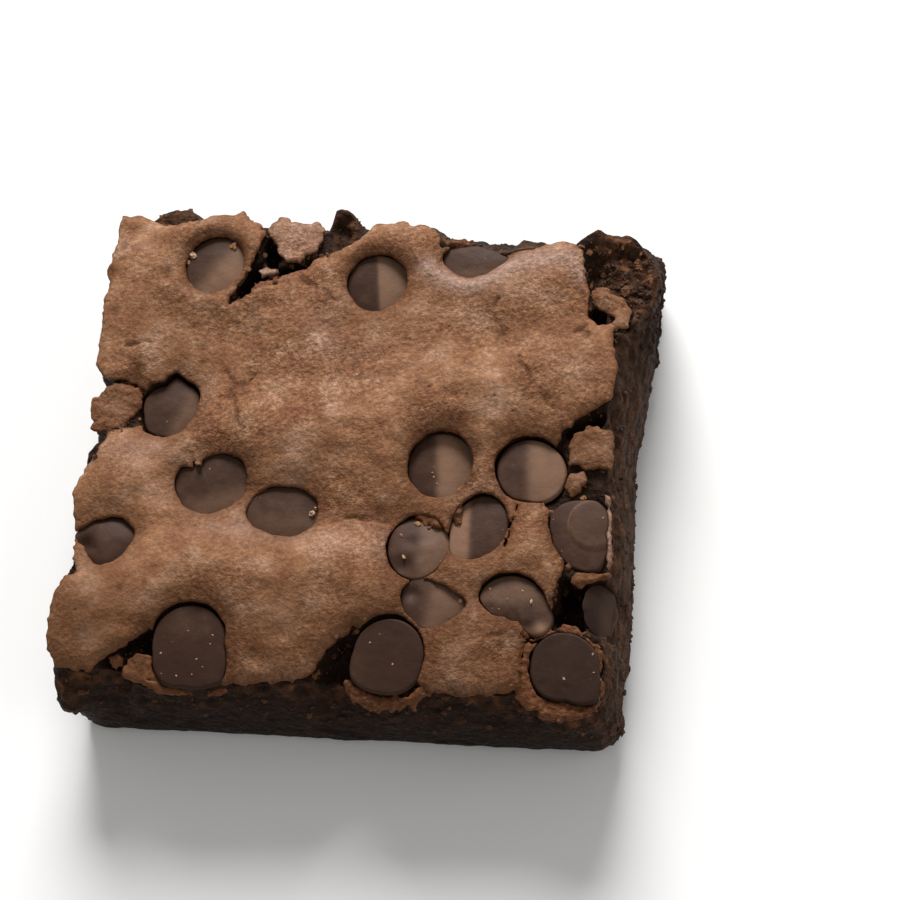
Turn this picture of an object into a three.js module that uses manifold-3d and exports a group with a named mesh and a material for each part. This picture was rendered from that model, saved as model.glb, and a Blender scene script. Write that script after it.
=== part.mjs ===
// A chocolate brownie square that lies on its flat base, with the baked crust up.
// Millimetres, +Z up, +Y towards the side where the crust is lifted round two chips.
// Crumb and crust are one solid, whose crust, cracks and crags are relief. Each chip is a solid of its own.
import * as THREE from "three";
import { mergeVertices } from "three/addons/utils/BufferGeometryUtils.js";
import Module from "manifold-3d";

const wasm = await Module();
wasm.setup();

// Driving sizes
const crustLevel = 19.2; // usual height of the crust above the base
const halfWidth = 34.8; // crust, from the middle to its left or right edge
const frontEdge = -30.6; // crust, y of its front edge
const backEdge = 32.6; // crust, y of its back edge
const gridStep = 1.25; // spacing of the surface's points
const sideLevels = [0, 0.05, 0.17, 0.32, 0.47, 0.62, 0.76, 0.86, 0.92, 0.97, 1];
const crustThickness = 1.1; // the crust's edge stands proud of the crumb by this much
const fitGap = 0.32; // air between a chip and the crumb round it
const chipDepth = 4.2; // chip, from its rim's level down to its lowest point
const chipSides = 16;
const detail = 0.16; // largest error allowed when flat stretches are thinned out

// Small helpers
const bump = (distance, width) => Math.exp(-((distance / width) ** 2));
const mix = (a, b, t) => a + (b - a) * t;
const through = (base, middle, top, w) =>
  base * (1 - w) * (1 - 2 * w) + middle * 4 * w * (1 - w) + top * w * (2 * w - 1);
const step = (low, high, value) => {
  const t = Math.min(1, Math.max(0, (value - low) / (high - low)));
  return t * t * (3 - 2 * t);
};

// Smooth lumps: a seeded random value at each lattice point, blended between them, from -1 to 1.
const lattice = (i, j, k) => {
  const s = Math.sin(i * 127.1 + j * 311.7 + k * 74.7 + 5.3) * 43758.5453;
  return 2 * (s - Math.floor(s)) - 1;
};
function lumps(x, y, z) {
  const [i, j, k] = [x, y, z].map(Math.floor);
  const [u, v, w] = [x - i, y - j, z - k].map((t) => t * t * (3 - 2 * t));
  const alongX = (b, c) => mix(lattice(i, b, c), lattice(i + 1, b, c), u);
  const alongY = (c) => mix(alongX(j, c), alongX(j + 1, c), v);
  return mix(alongY(k), alongY(k + 1), w);
}

// The chips: middle, size across and along, and what tells one from the next.
// turn swings the outline, corner pulls it out towards a direction, flat cuts it off at a distance in front,
// lean tips the top towards +X and +Y (rise for each mm), and sink is how far it lies below the crust.
const chips = [
  { name: "chip_01", x: -21.0, y: 26.2, across: 8.3, along: 8.7, sink: 0.9, lean: [-0.1, 0.05] },
  { name: "chip_02", x: 1.4, y: 24.2, across: 8.4, along: 8.4, sink: 1.0, lean: [-0.06, -0.08] },
  { name: "chip_03", x: 13.6, y: 27.6, across: 8.6, along: 4.8, sink: 0.9, corner: [0, 0.08], lean: [0, 0.1] },
  { name: "chip_04", x: -24.5, y: 6.0, across: 8.0, along: 8.6, sink: 1.2, turn: -14, corner: [90, 0.14] },
  { name: "chip_05", x: -17.4, y: -4.5, across: 9.8, along: 8.2, sink: 0.9, turn: 14 },
  { name: "chip_06", x: -7.5, y: -7.8, across: 9.6, along: 7.0, sink: 0.8, turn: -4 },
  { name: "chip_07", x: -30.2, y: -12.7, across: 8.0, along: 6.8, sink: 0.7, dome: 1.1, turn: 4 },
  { name: "chip_08", x: -17.6, y: -26.0, across: 9.8, along: 10.8, sink: 0.75, flat: 4.6, lean: [0, 0.08] },
  { name: "chip_09", x: 7.8, y: -25.8, across: 9.4, along: 10.0, sink: 0.75, flat: 4.6, lean: [0, 0.08] },
  { name: "chip_10", x: 12.2, y: -0.5, across: 8.5, along: 9.0, sink: 1.2 },
  { name: "chip_11", x: 23.8, y: -0.5, across: 9.2, along: 8.9, sink: 1.0 },
  { name: "chip_12", x: 10.3, y: -11.4, across: 7.7, along: 8.5, sink: 0.7, dome: 1.2 },
  { name: "chip_13", x: 18.1, y: -8.6, across: 7.0, along: 8.8, sink: 0.8, turn: -14 },
  { name: "chip_14", x: 13.3, y: -19.0, across: 8.4, along: 5.4, sink: 1.0, turn: -8 },
  { name: "chip_15", x: 23.6, y: -17.8, across: 10.2, along: 6.2, sink: 0.9, turn: -26 },
  { name: "chip_16", x: 30.7, y: -8.7, across: 7.4, along: 9.8, sink: 1.1, dome: 0.5, turn: 12 },
  { name: "chip_17", x: 33.0, y: -17.9, across: 4.2, along: 6.8, sink: 2.2, dome: 0.9, lean: [-0.6, 0] },
  { name: "chip_18", x: 30.2, y: -26.2, across: 8.9, along: 8.6, sink: 0.6, flat: 4.0, lean: [-0.05, 0.05] },
];

// Long swells of the crust: middle, reach across and along, turn in degrees, and rise.
const swells = [
  { x: -5, y: 3.4, across: 14, along: 5.2, turn: 6, rise: 2.1 }, // pillow over the middle
  { x: 17, y: 10.6, across: 14, along: 5.4, turn: 6, rise: 1.8 },
  { x: 2, y: 20, across: 24, along: 8, turn: 6, rise: 0.5 },
  { x: -6, y: -15.5, across: 16, along: 5.6, turn: -3, rise: 1.5 }, // pillow in front of it
  { x: 3, y: -8, across: 12, along: 2.8, turn: 4, rise: -0.9 }, // valley between the pillows
  { x: -28.5, y: -3.5, across: 6, along: 4, turn: 10, rise: 0.9 },
  { x: -31, y: -20.5, across: 9, along: 6, turn: 0, rise: 1.0 },
  { x: -31, y: 17, across: 7, along: 10, turn: 0, rise: 0.6 },
  { x: -20.5, y: 27, across: 7.5, along: 7, turn: 0, rise: 1.3 }, // crust lifted round two chips
  { x: 3, y: 29, across: 7, along: 5, turn: 0, rise: 1.4 },
  { x: 19, y: 24, across: 10, along: 4, turn: 12, rise: 0.6 },
  { x: 27, y: -24, across: 12, along: 7, turn: 0, rise: -0.5 },
  { x: 0, y: -33, across: 60, along: 7, turn: 0, rise: -2.0 }, // front edge bends down
];

// Where the crust has broken away and the crumb lies bare: middle, reach, turn and depth.
const bareSpots = [
  { x: 33.5, y: 27, across: 5.2, along: 6.8, turn: 20, depth: 2.6 }, // back right corner
  { x: -3.2, y: 31.5, across: 2.4, along: 2.6, turn: 0, depth: 2.2 },
  { x: -25.6, y: -27.6, across: 4.6, along: 2.6, turn: 35, depth: 2.0 },
  { x: 0.8, y: -28.4, across: 2.6, along: 4.4, turn: -30, depth: 2.0 },
  { x: 30.3, y: -17.8, across: 2.0, along: 2.8, turn: 0, depth: 4.2 },
  { x: 33.3, y: -29.5, across: 2.2, along: 2.0, turn: 0, depth: 1.8 },
];

// Cracks: the points they pass, their half width and depth.
const cracks = [
  { path: [[-17.8, 20.8], [-16.1, 22.7], [-14.2, 25.6], [-13.4, 28.2]], half: 1.3, depth: 3.4 },
  { path: [[-14.2, 27.4], [-12, 26.4], [-8.7, 26.2], [-6.8, 28.8], [-5, 32.4]], half: 1.2, depth: 2.4 },
  { path: [[-13.6, 28], [-14.4, 30.4], [-15.6, 33]], half: 1.1, depth: 1.6 },
  { path: [[27.2, 3.4], [29.4, 5.2], [31.3, 6.4], [34.6, 8]], half: 0.8, depth: 2 },
  { path: [[28.4, -1.4], [31, -1.6], [34.6, -1.9]], half: 0.7, depth: 1.6 },
  { path: [[-35.4, 8.6], [-31, 8.4], [-28, 7.4]], half: 0.7, depth: 1.2 },
  { path: [[-35.4, 1.2], [-31.6, 1.6], [-29, 2.6]], half: 0.7, depth: 1.4 },
];

// How far a place lies inside a turned ellipse: 0 in its middle, 1 on its rim.
function reach({ x, y, across, along, turn = 0 }, px, py) {
  const a = THREE.MathUtils.degToRad(turn);
  const dx = (px - x) * Math.cos(a) + (py - y) * Math.sin(a);
  const dy = (py - y) * Math.cos(a) - (px - x) * Math.sin(a);
  return Math.hypot(dx / across, dy / along);
}

// Distance from a place to a crack's line.
function toPath(path, px, py) {
  let nearest = Infinity;
  for (let i = 1; i < path.length; i++) {
    const [ax, ay] = path[i - 1];
    const [bx, by] = [path[i][0] - ax, path[i][1] - ay];
    const t = ((px - ax) * bx + (py - ay) * by) / (bx * bx + by * by);
    const s = Math.min(1, Math.max(0, t));
    nearest = Math.min(nearest, Math.hypot(px - ax - s * bx, py - ay - s * by));
  }
  return nearest;
}

// Height of the unbroken crust: its level, the swells, and a dimple round each chip.
function crustHeight(x, y) {
  let z = crustLevel + 0.22 * lumps(x / 4.5, y / 4.5, 3) + 0.1 * lumps(x / 1.9, y / 1.9, 9);
  for (const swell of swells) z += swell.rise * bump(reach(swell, x, y), 1);
  for (const chip of chips) z -= 0.3 * bump(Math.max(0, Math.hypot(x - chip.x, y - chip.y) - 4.2), 1.6);
  return z;
}

// Height of the top as it is: the crust, less its broken places and cracks.
function topHeight(x, y) {
  let lost = 0;
  for (const spot of bareSpots) {
    const ragged = reach(spot, x, y) + 0.22 * lumps(x / 2.2, y / 2.2, 21);
    lost = Math.max(lost, spot.depth * (1 - step(0.75, 1.2, ragged)));
  }
  for (const crack of cracks) {
    lost = Math.max(lost, crack.depth * (1 - step(0.1, 1.5, toPath(crack.path, x, y) / crack.half)));
  }
  return crustHeight(x, y) - lost + Math.min(1, lost) * 0.35 * lumps(x / 2.6, y / 2.6, 40);
}

// The four sides. Each gives how far out it lies at a place along it, for w from 0 at the base
// to 1 at the crust.
const crag = (x, y, w) => {
  const z = w * crustLevel;
  const strength = step(0, 0.12, w) * (1 - 0.55 * step(0.9, 1, w));
  const coarse = lumps(x / 4.8, y / 4.8, z / 3.6);
  const fine = lumps(x / 2.1 + 50, y / 2.1, z / 1.7);
  const undercut = crustThickness * 0.8 * bump(w - 0.905, 0.035);
  return strength * (0.75 * coarse + 0.45 * fine) - undercut - 0.5 * bump(w, 0.03);
};
const leftOut = (y, w) => {
  const swell = 0.9 * bump(y + 6, 3) + 1.2 * bump(y + 22.5, 5) + 0.4 * bump(y - 24, 10);
  const notches = 1.7 * bump(y - 8.6, 0.9) + 2.3 * bump(y - 1.2, 1.3);
  return through(35.2, 35.8, 34.6 + swell - notches, w) + crag(-36, y, w);
};
const rightOut = (y, w) => {
  const top = halfWidth - 0.033 * (y + 30) - 0.5 * bump(y - 7.6, 1.2) + 3.2 * step(20, 28, y);
  const waist = 0.9 * bump(y - 4, 8);
  const base = 35.2 + 0.9 * step(8, 34, y) - waist;
  const middle = 36.5 + 0.9 * step(5, 25, y) - waist;
  return through(base, middle, top, w) + crag(36, y, w);
};
const frontOut = (x, w) => {
  const top = frontEdge + 0.9 * bump(x + 27, 2.5) + 0.9 * bump(x - 1, 3) + 0.8 * bump(x - 25, 1.2);
  const lobe = 2.0 * bump(x + 35, 3) * bump(w - 0.72, 0.2);
  return -through(-32.9 + 0.015 * (x + 35), -32.4, top, w) + lobe + crag(x, -33, w);
};
const backOut = (x, w) => {
  const scallops =
    1.2 * bump(x + 28, 3) - 0.5 * bump(x + 19, 4) + 0.7 * bump(x + 15.6, 0.9) - 0.4 * bump(x + 12.5, 1.6);
  const dips = 1.4 * bump(x + 5, 1) + 1.6 * step(7, 10, x) - 1.0 * bump(x - 3, 4) + 0.8 * bump(x - 17, 3);
  const corner = 1.6 * step(21, 30, x) - 2.5 * step(33, 37, x);
  return through(34.6, 34.8, backEdge - scallops - dips + corner, w) + crag(x, 35, w);
};

// A point of the surface: s from left to right, t from front to back, w from the base to the crust.
function place(s, t, w) {
  const alongY = mix(frontEdge, backEdge, t);
  const x = mix(-leftOut(alongY, w), rightOut(alongY, w), s);
  const y = mix(-frontOut(x, w), backOut(x, w), t);
  const fromCorner = Math.hypot(70 * Math.min(s, 1 - s), 64 * Math.min(t, 1 - t));
  const tuck = 0.75 * bump(fromCorner, 1.6);
  return [x - tuck * Math.sign(s - 0.5), y - tuck * Math.sign(t - 0.5)];
}

// A solid from a list of points and faces, by way of a three.js geometry.
function solidOf(geometry) {
  const bare = geometry.clone();
  bare.deleteAttribute("normal");
  bare.deleteAttribute("uv");
  const merged = mergeVertices(bare, 1e-4);
  const vertProperties = new Float32Array(merged.attributes.position.array);
  const triVerts = new Uint32Array(merged.index.array);
  return new wasm.Manifold(new wasm.Mesh({ numProp: 3, vertProperties, triVerts }));
}

// The brownie without its chips: a grid for the top, rings of points down the sides, and a flat base.
function slab() {
  const columns = Math.round((2 * halfWidth) / gridStep);
  const rows = Math.round((backEdge - frontEdge) / gridStep);
  const points = [];
  const faces = [];
  const top = [];
  for (let j = 0; j <= rows; j++) {
    for (let i = 0; i <= columns; i++) {
      const [x, y] = place(i / columns, j / rows, 1);
      const atEdge = i === 0 || j === 0 || i === columns || j === rows;
      top.push(points.length / 3);
      points.push(x, y, topHeight(x, y) - (atEdge ? 0.5 : 0));
    }
  }
  const at = (i, j) => top[j * (columns + 1) + i];
  for (let j = 0; j < rows; j++) {
    for (let i = 0; i < columns; i++) {
      const [a, b, c, d] = [at(i, j), at(i + 1, j), at(i + 1, j + 1), at(i, j + 1)];
      if ((i + j) % 2) faces.push(a, b, c, a, c, d);
      else faces.push(a, b, d, b, c, d);
    }
  }
  // The way round the edge, anticlockwise from the front left corner.
  const round = [];
  for (let i = 0; i < columns; i++) round.push([i, 0]);
  for (let j = 0; j < rows; j++) round.push([columns, j]);
  for (let i = columns; i > 0; i--) round.push([i, rows]);
  for (let j = rows; j > 0; j--) round.push([0, j]);
  let above = round.map(([i, j]) => at(i, j));
  for (const w of [...sideLevels].reverse().slice(1)) {
    const ring = round.map(([i, j]) => {
      const [x, y] = place(i / columns, j / rows, w);
      points.push(x, y, w * points[3 * at(i, j) + 2]);
      return points.length / 3 - 1;
    });
    ring.forEach((low, n) => {
      const next = (n + 1) % ring.length;
      faces.push(low, ring[next], above[next], low, above[next], above[n]);
    });
    above = ring;
  }
  points.push(0, 0, 0);
  const centre = points.length / 3 - 1;
  above.forEach((p, n) => faces.push(centre, above[(n + 1) % above.length], p));
  const geometry = new THREE.BufferGeometry();
  geometry.setAttribute("position", new THREE.Float32BufferAttribute(points, 3));
  geometry.setIndex(faces);
  return solidOf(geometry);
}

// One chip, or with grow the room that it needs in the crumb, open at the top.
// A profile is turned round the chip's axis, then each ring is drawn out to the chip's own outline.
function chipGeometry(chip, grow = 0) {
  const { across, along, turn = 0, corner, flat, dome = 0.6, lean = [0, 0], sink } = chip;
  const base = -chipDepth - grow;
  const under = [[0, base], [0.68, base + 1.0], [0.98, -1.2 - grow], [1, -0.5 - grow]];
  const over = grow ? [[1, 5], [0, 5]] : [[0.92, -0.1], [0.55, 0.6 * dome], [0, dome]];
  const profile = [...under, ...over].map(([r, z]) => new THREE.Vector2(r, z));
  const geometry = new THREE.LatheGeometry(profile, chipSides);
  geometry.rotateX(Math.PI / 2); // the lathe's axis is Y, the chip's is Z
  const position = geometry.attributes.position;
  const level = crustHeight(chip.x, chip.y) - sink - 0.55 * dome;
  const swing = THREE.MathUtils.degToRad(turn);
  for (let i = 0; i < position.count; i++) {
    const [u, v, z] = [position.getX(i), position.getY(i), position.getZ(i)];
    const angle = Math.atan2(v, u) + swing;
    let pull = 1;
    if (corner) pull += corner[1] * bump(1 - Math.cos(angle - THREE.MathUtils.degToRad(corner[0])), 0.12);
    const [dx, dy] = [pull * u * across * 0.5, pull * v * along * 0.5];
    let [x, y] = [dx * Math.cos(swing) - dy * Math.sin(swing), dx * Math.sin(swing) + dy * Math.cos(swing)];
    if (flat) y = Math.max(y, -flat);
    const out = grow / Math.max(0.5, Math.hypot(x, y)); // the room's walls stand off by grow
    if (Math.hypot(u, v) > 1e-6) [x, y] = [x * (1 + out), y * (1 + out)];
    const tipped = z > 3 ? 0 : lean[0] * x + lean[1] * y;
    position.setXYZ(i, chip.x + x, chip.y + y, level + z + tipped);
  }
  return geometry;
}

// Build the solids, and thin out the slab's flat stretches before its pockets are cut.
let crumb = slab().simplify(detail);
for (const chip of chips) crumb = crumb.subtract(solidOf(chipGeometry(chip, fitGap)));
const loose = crumb.decompose().sort((a, b) => b.volume() - a.volume());
crumb = loose[0]; // a scrap cut free by a pocket is dropped

function geometryOf(solid) {
  const mesh = solid.getMesh();
  const geometry = new THREE.BufferGeometry();
  geometry.setAttribute("position", new THREE.Float32BufferAttribute(mesh.vertProperties, mesh.numProp));
  geometry.setIndex([...mesh.triVerts]);
  const flatFaced = geometry.toNonIndexed();
  flatFaced.computeVertexNormals();
  return flatFaced;
}

// Materials
const bakedCrust = new THREE.MeshStandardMaterial({ color: "#83604a", roughness: 0.72, metalness: 0 });
const darkChocolate = new THREE.MeshStandardMaterial({ color: "#4b3a32", roughness: 0.45, metalness: 0 });

// The group, moved so that the origin is in the middle under the brownie
const brownie = new THREE.Group();
const body = new THREE.Mesh(geometryOf(crumb), bakedCrust);
body.name = "brownie";
brownie.add(body);
for (const chip of chips) {
  const piece = new THREE.Mesh(chipGeometry(chip), darkChocolate);
  piece.name = chip.name;
  brownie.add(piece);
}
const box = new THREE.Box3().setFromObject(brownie);
const middle = box.getCenter(new THREE.Vector3());
brownie.position.set(-middle.x, -middle.y, -box.min.z);
const group = new THREE.Group().add(brownie);

export default group;
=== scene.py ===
# A chocolate chip brownie in its finished look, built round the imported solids.
# Shapes are worked out in millimetres on the solids' plan, then put into the frame in metres.
import math

import bpy
import numpy as np
from mathutils import Matrix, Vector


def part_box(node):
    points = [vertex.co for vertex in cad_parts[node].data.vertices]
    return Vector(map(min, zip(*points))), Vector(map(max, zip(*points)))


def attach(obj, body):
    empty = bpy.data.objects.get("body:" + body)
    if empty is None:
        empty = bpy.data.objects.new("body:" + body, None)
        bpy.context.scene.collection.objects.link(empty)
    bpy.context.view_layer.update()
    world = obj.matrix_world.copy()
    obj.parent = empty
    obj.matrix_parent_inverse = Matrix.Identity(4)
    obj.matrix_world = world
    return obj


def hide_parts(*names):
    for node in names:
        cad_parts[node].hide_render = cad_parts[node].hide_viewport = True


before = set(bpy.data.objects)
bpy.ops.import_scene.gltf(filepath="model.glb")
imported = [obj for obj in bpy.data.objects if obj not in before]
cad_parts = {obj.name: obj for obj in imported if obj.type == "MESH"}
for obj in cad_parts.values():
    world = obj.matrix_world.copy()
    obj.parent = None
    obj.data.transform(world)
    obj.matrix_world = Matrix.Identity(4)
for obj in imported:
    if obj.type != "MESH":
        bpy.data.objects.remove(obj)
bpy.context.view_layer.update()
print("frame loaded,", len(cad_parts), "solids")

millimetre = 0.001

# Where the plan's origin lies in the frame: the first chip's place on the plan is known.
firstChipPlan = np.array([-21.0, 26.2])
planOrigin = np.array(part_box("chip_01"))[:, :2].mean(axis=0) / millimetre - firstChipPlan


# Small helpers

# 0 below low, 1 above high, and between them the S curve 3 t squared - 2 t cubed
def ramp(low, high, value):
    t = np.clip((value - low) / (high - low), 0.0, 1.0)
    return t * t * (3.0 - 2.0 * t)


# bell curve: 1 at no distance, falling as exp(-(distance / width) squared)
def bump(distance, width):
    return np.exp(-(distance / width) ** 2)


# from a to b as t goes from 0 to 1: a + (b - a) t
def mix(a, b, t):
    return a + (b - a) * t


# parabola through three values, at w = 0, a half and 1
def through(base, middle, top, w):
    return base * (1 - w) * (1 - 2 * w) + middle * 4 * w * (1 - w) + top * w * (2 * w - 1)


# a fixed random number from 0 to 1 for each lattice point: the fraction left of a large sine
def lattice(i, j, k, seed=0.0):
    s = np.sin(i * 127.1 + j * 311.7 + k * 74.7 + seed * 19.19 + 5.3) * 43758.5453
    return s - np.floor(s)


# smooth lumps from -1 to 1: the lattice's numbers, blended along x, y and z with S curves
def lumps(x, y, z, seed=0.0):
    x, y, z = np.broadcast_arrays(*(np.asarray(c, float) for c in (x, y, z)))
    i, j, k = np.floor(x), np.floor(y), np.floor(z)
    u, v, w = (t * t * (3 - 2 * t) for t in (x - i, y - j, z - k))
    total = 0.0
    for a in (0, 1):
        for b in (0, 1):
            for c in (0, 1):
                weight = (u if a else 1 - u) * (v if b else 1 - v) * (w if c else 1 - w)
                total = total + weight * lattice(i + a, j + b, k + c, seed)
    return 2 * total - 1


# rough lumps: each layer is half the size and 0.55 of the strength of the last
def rough(x, y, z, size, layers, seed=0.0):
    total = 0.0
    for n in range(layers):
        total = total + 0.55 ** n * lumps(x * 2 ** n / size, y * 2 ** n / size, z * 2 ** n / size, seed + n)
    return total


# clods: distance to the nearest of the seeded points, one in each lattice cell, so 0 at a clod's heart
def clods(x, y, z, seed=0.0):
    x, y, z = np.broadcast_arrays(*(np.asarray(c, float) for c in (x, y, z)))
    i, j, k = np.floor(x), np.floor(y), np.floor(z)
    nearest = np.full(x.shape, 9.0)
    for a in (-1, 0, 1):
        for b in (-1, 0, 1):
            for c in (-1, 0, 1):
                px = i + a + lattice(i + a, j + b, k + c, seed + 1)
                py = j + b + lattice(i + a, j + b, k + c, seed + 2)
                pz = k + c + lattice(i + a, j + b, k + c, seed + 3)
                nearest = np.minimum(nearest, (px - x) ** 2 + (py - y) ** 2 + (pz - z) ** 2)
    return np.sqrt(nearest)


# how far out a place lies in a turned ellipse: 0 in its middle, 1 on its rim
def reach(spot, x, y):
    a = math.radians(spot.get("turn", 0))
    dx = (x - spot["x"]) * math.cos(a) + (y - spot["y"]) * math.sin(a)
    dy = (y - spot["y"]) * math.cos(a) - (x - spot["x"]) * math.sin(a)
    return np.hypot(dx / spot["across"], dy / spot["along"])


# shortest distance from each place to a line of points
def toPath(path, x, y, closed=False):
    ends = path[1:] + path[:1] if closed else path[1:]
    nearest = np.full(np.shape(x), 1e9)
    for (ax, ay), (bx, by) in zip(path, ends):
        ux, uy = bx - ax, by - ay
        t = np.clip(((x - ax) * ux + (y - ay) * uy) / (ux * ux + uy * uy), 0, 1)
        nearest = np.minimum(nearest, np.hypot(x - ax - t * ux, y - ay - t * uy))
    return nearest


# signed distance to a closed outline: positive inside, by counting how often a ray to the right crosses it
def insideOutline(outline, x, y):
    inside = np.zeros(np.shape(x), bool)
    for (ax, ay), (bx, by) in zip(outline, outline[1:] + outline[:1]):
        crosses = (ay > y) != (by > y)
        atX = ax + (y - ay) * (bx - ax) / (by - ay if by != ay else 1e-9)
        inside ^= crosses & (x < atX)
    return np.where(inside, 1.0, -1.0) * toPath(outline, x, y, closed=True)


# Colours, nodes and meshes

# sRGB hex to linear light, as the shader wants it
def linear(hexCode):
    values = [int(hexCode[i:i + 2], 16) / 255 for i in (0, 2, 4)]
    return [v / 12.92 if v <= 0.04045 else ((v + 0.055) / 1.055) ** 2.4 for v in values] + [1.0]


# rows of numbers to dictionaries with the given names
def named(names, *rows):
    return [dict(zip(names.split(), row)) for row in rows]


# an empty material and its tree of nodes
def newMaterial(name):
    material = bpy.data.materials.new(name)
    material.use_nodes = True
    tree = material.node_tree
    tree.nodes.clear()
    return material, tree


# adds a node, sets what is given by name, and links or fills its inputs
def addNode(tree, kind, inputs=None, **settings):
    node = tree.nodes.new(kind)
    stops = settings.pop("stops", None)
    for key, value in settings.items():
        setattr(node, key, value)
    if stops:
        ramps = node.color_ramp.elements
        while len(ramps) < len(stops):
            ramps.new(0.5)
        for element, (place, colour) in zip(ramps, stops):
            element.position, element.color = place, colour
    for key, value in (inputs or {}).items():
        socket = node.inputs[key]
        if isinstance(value, bpy.types.NodeSocket):
            tree.links.new(value, socket)
        else:
            socket.default_value = value
    return node


# places on the plan to places in the frame: adds the plan's origin and turns millimetres into metres
def toFrame(points):
    placed = np.array(points, float)
    placed[:, :2] += planOrigin
    return placed * millimetre


# puts points and faces into a mesh object at the origin, with smooth shading and any point attributes
def makePiece(name, points, faces, material, attributes=None, smooth=True):
    mesh = bpy.data.meshes.new(name)
    mesh.from_pydata(toFrame(points).tolist(), [], [face for block in faces for face in block.tolist()])
    mesh.polygons.foreach_set("use_smooth", np.full(len(mesh.polygons), smooth))
    for key, values in (attributes or {}).items():
        layer = mesh.attributes.new(key, "FLOAT", "POINT")
        layer.data.foreach_set("value", np.asarray(values, np.float32))
    mesh.materials.append(material)
    mesh.update()
    piece = bpy.data.objects.new(name, mesh)
    bpy.context.scene.collection.objects.link(piece)
    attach(piece, "root")
    print(name, "-", len(points), "points")
    return piece


# quads of a grid of rows by columns, numbered row by row; wrapped joins the last column to the first
def gridFaces(rows, columns, wrapped=False, start=0):
    r = np.arange(rows - 1)[:, None]
    c = np.arange(columns if wrapped else columns - 1)[None, :]
    right = (c + 1) % columns
    corners = (r * columns + c, r * columns + right, (r + 1) * columns + right, (r + 1) * columns + c)
    return np.stack(np.broadcast_arrays(*corners), axis=-1).reshape(-1, 4) + start


# faces of a closed ball: a point on top, then count rings of around points each, then a point below
def ballFaces(count, around):
    first = 1 + np.arange(around)
    last = first + (count - 1) * around
    walls = gridFaces(count, around, wrapped=True, start=1)[:, ::-1]
    cap = np.stack([np.zeros(around, int), first, np.roll(first, -1)], -1)
    end = np.stack([np.full(around, 1 + count * around), np.roll(last, -1), last], -1)
    return [walls, cap, end]


# The slab's plan, which crumb and crust share

slab = {
    "crustLevel": 19.2,  # usual height of the crust's top
    "halfWidth": 34.8,
    "frontEdge": -30.6,
    "backEdge": 32.6,
    "readLevel": 20.0,  # height at which outlines were read off, looking as the camera looks
    "readShift": (-0.12, 0.45),  # how far a place moves for each millimetre that it lies lower
}

# long swells of the crust: middle, reach, turn in degrees, and rise
swells = named(
    "x y across along turn rise",
    (-5, 3.4, 14, 5.2, 6, 2.1),  # pillow over the middle
    (17, 10.6, 14, 5.4, 6, 1.8),
    (2, 20, 24, 8, 6, 0.5),
    (-6, -15.5, 16, 5.6, -3, 1.5),  # pillow in front of it
    (3, -8.0, 12, 2.8, 4, -0.9),  # valley between the pillows
    (-28.5, -3.5, 6, 4.0, 10, 0.9),
    (-31, -20.5, 9, 6, 0, 1.0),
    (-31, 17, 7, 10, 0, 0.6),
    (-20.5, 27, 7.5, 7, 0, 0.9),  # lifted round two chips
    (3, 29, 7, 5, 0, 1.3),
    (19, 24, 10, 4, 12, 0.6),
    (18, 18, 2.6, 4.5, 20, -0.35),
    (27, -24, 12, 7, 0, -0.5),
    (0, -33, 60, 7, 0, -2.0),  # the front edge bends down
)

# where the crust has gone and the crumb lies deeper
bareSpots = named(
    "x y across along turn depth",
    (34.0, 27, 5.6, 7.4, 20, 2.6),  # back right corner
    (36.5, 33, 5.6, 3.4, -10, 2.2),
    (-3.2, 31.8, 2.6, 3.0, 0, 1.3),
    (-25.2, -26.6, 4.2, 2.4, 35, 2.6),
    (1.8, -27.2, 2.4, 4.6, -20, 2.4),
    (30.4, -17.8, 2.3, 3.2, 0, 6.0),
    (-15.9, 23.8, 1.5, 3.4, -35, 4.4),  # the cracks at the back left
    (-13.6, 28.0, 1.2, 2.4, 0, 3.8),
    (-9.6, 26.2, 3.2, 0.9, 12, 3.6),
    (30.3, 5.8, 2.6, 1.1, 30, 3.0),
    (30.4, 20.9, 1.3, 1.7, 0, 3.4),
    (14.4, -8.4, 1.0, 0.8, 0, 2.4),
)


# the crust's broad shape: its level and its swells
def swellHeight(x, y):
    z = slab["crustLevel"] + 0.0 * x
    for swell in swells:
        z = z + swell["rise"] * bump(reach(swell, x, y), 1)
    return z


# moves outline points from the level at which they were read to the height that the crust has there
def asSeen(points):
    p = np.array(points, float)
    for _ in range(3):
        drop = slab["readLevel"] - swellHeight(p[:, 0], p[:, 1])
        p = np.array(points, float) + drop[:, None] * np.array(slab["readShift"])
    return [tuple(point) for point in p.tolist()]


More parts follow.
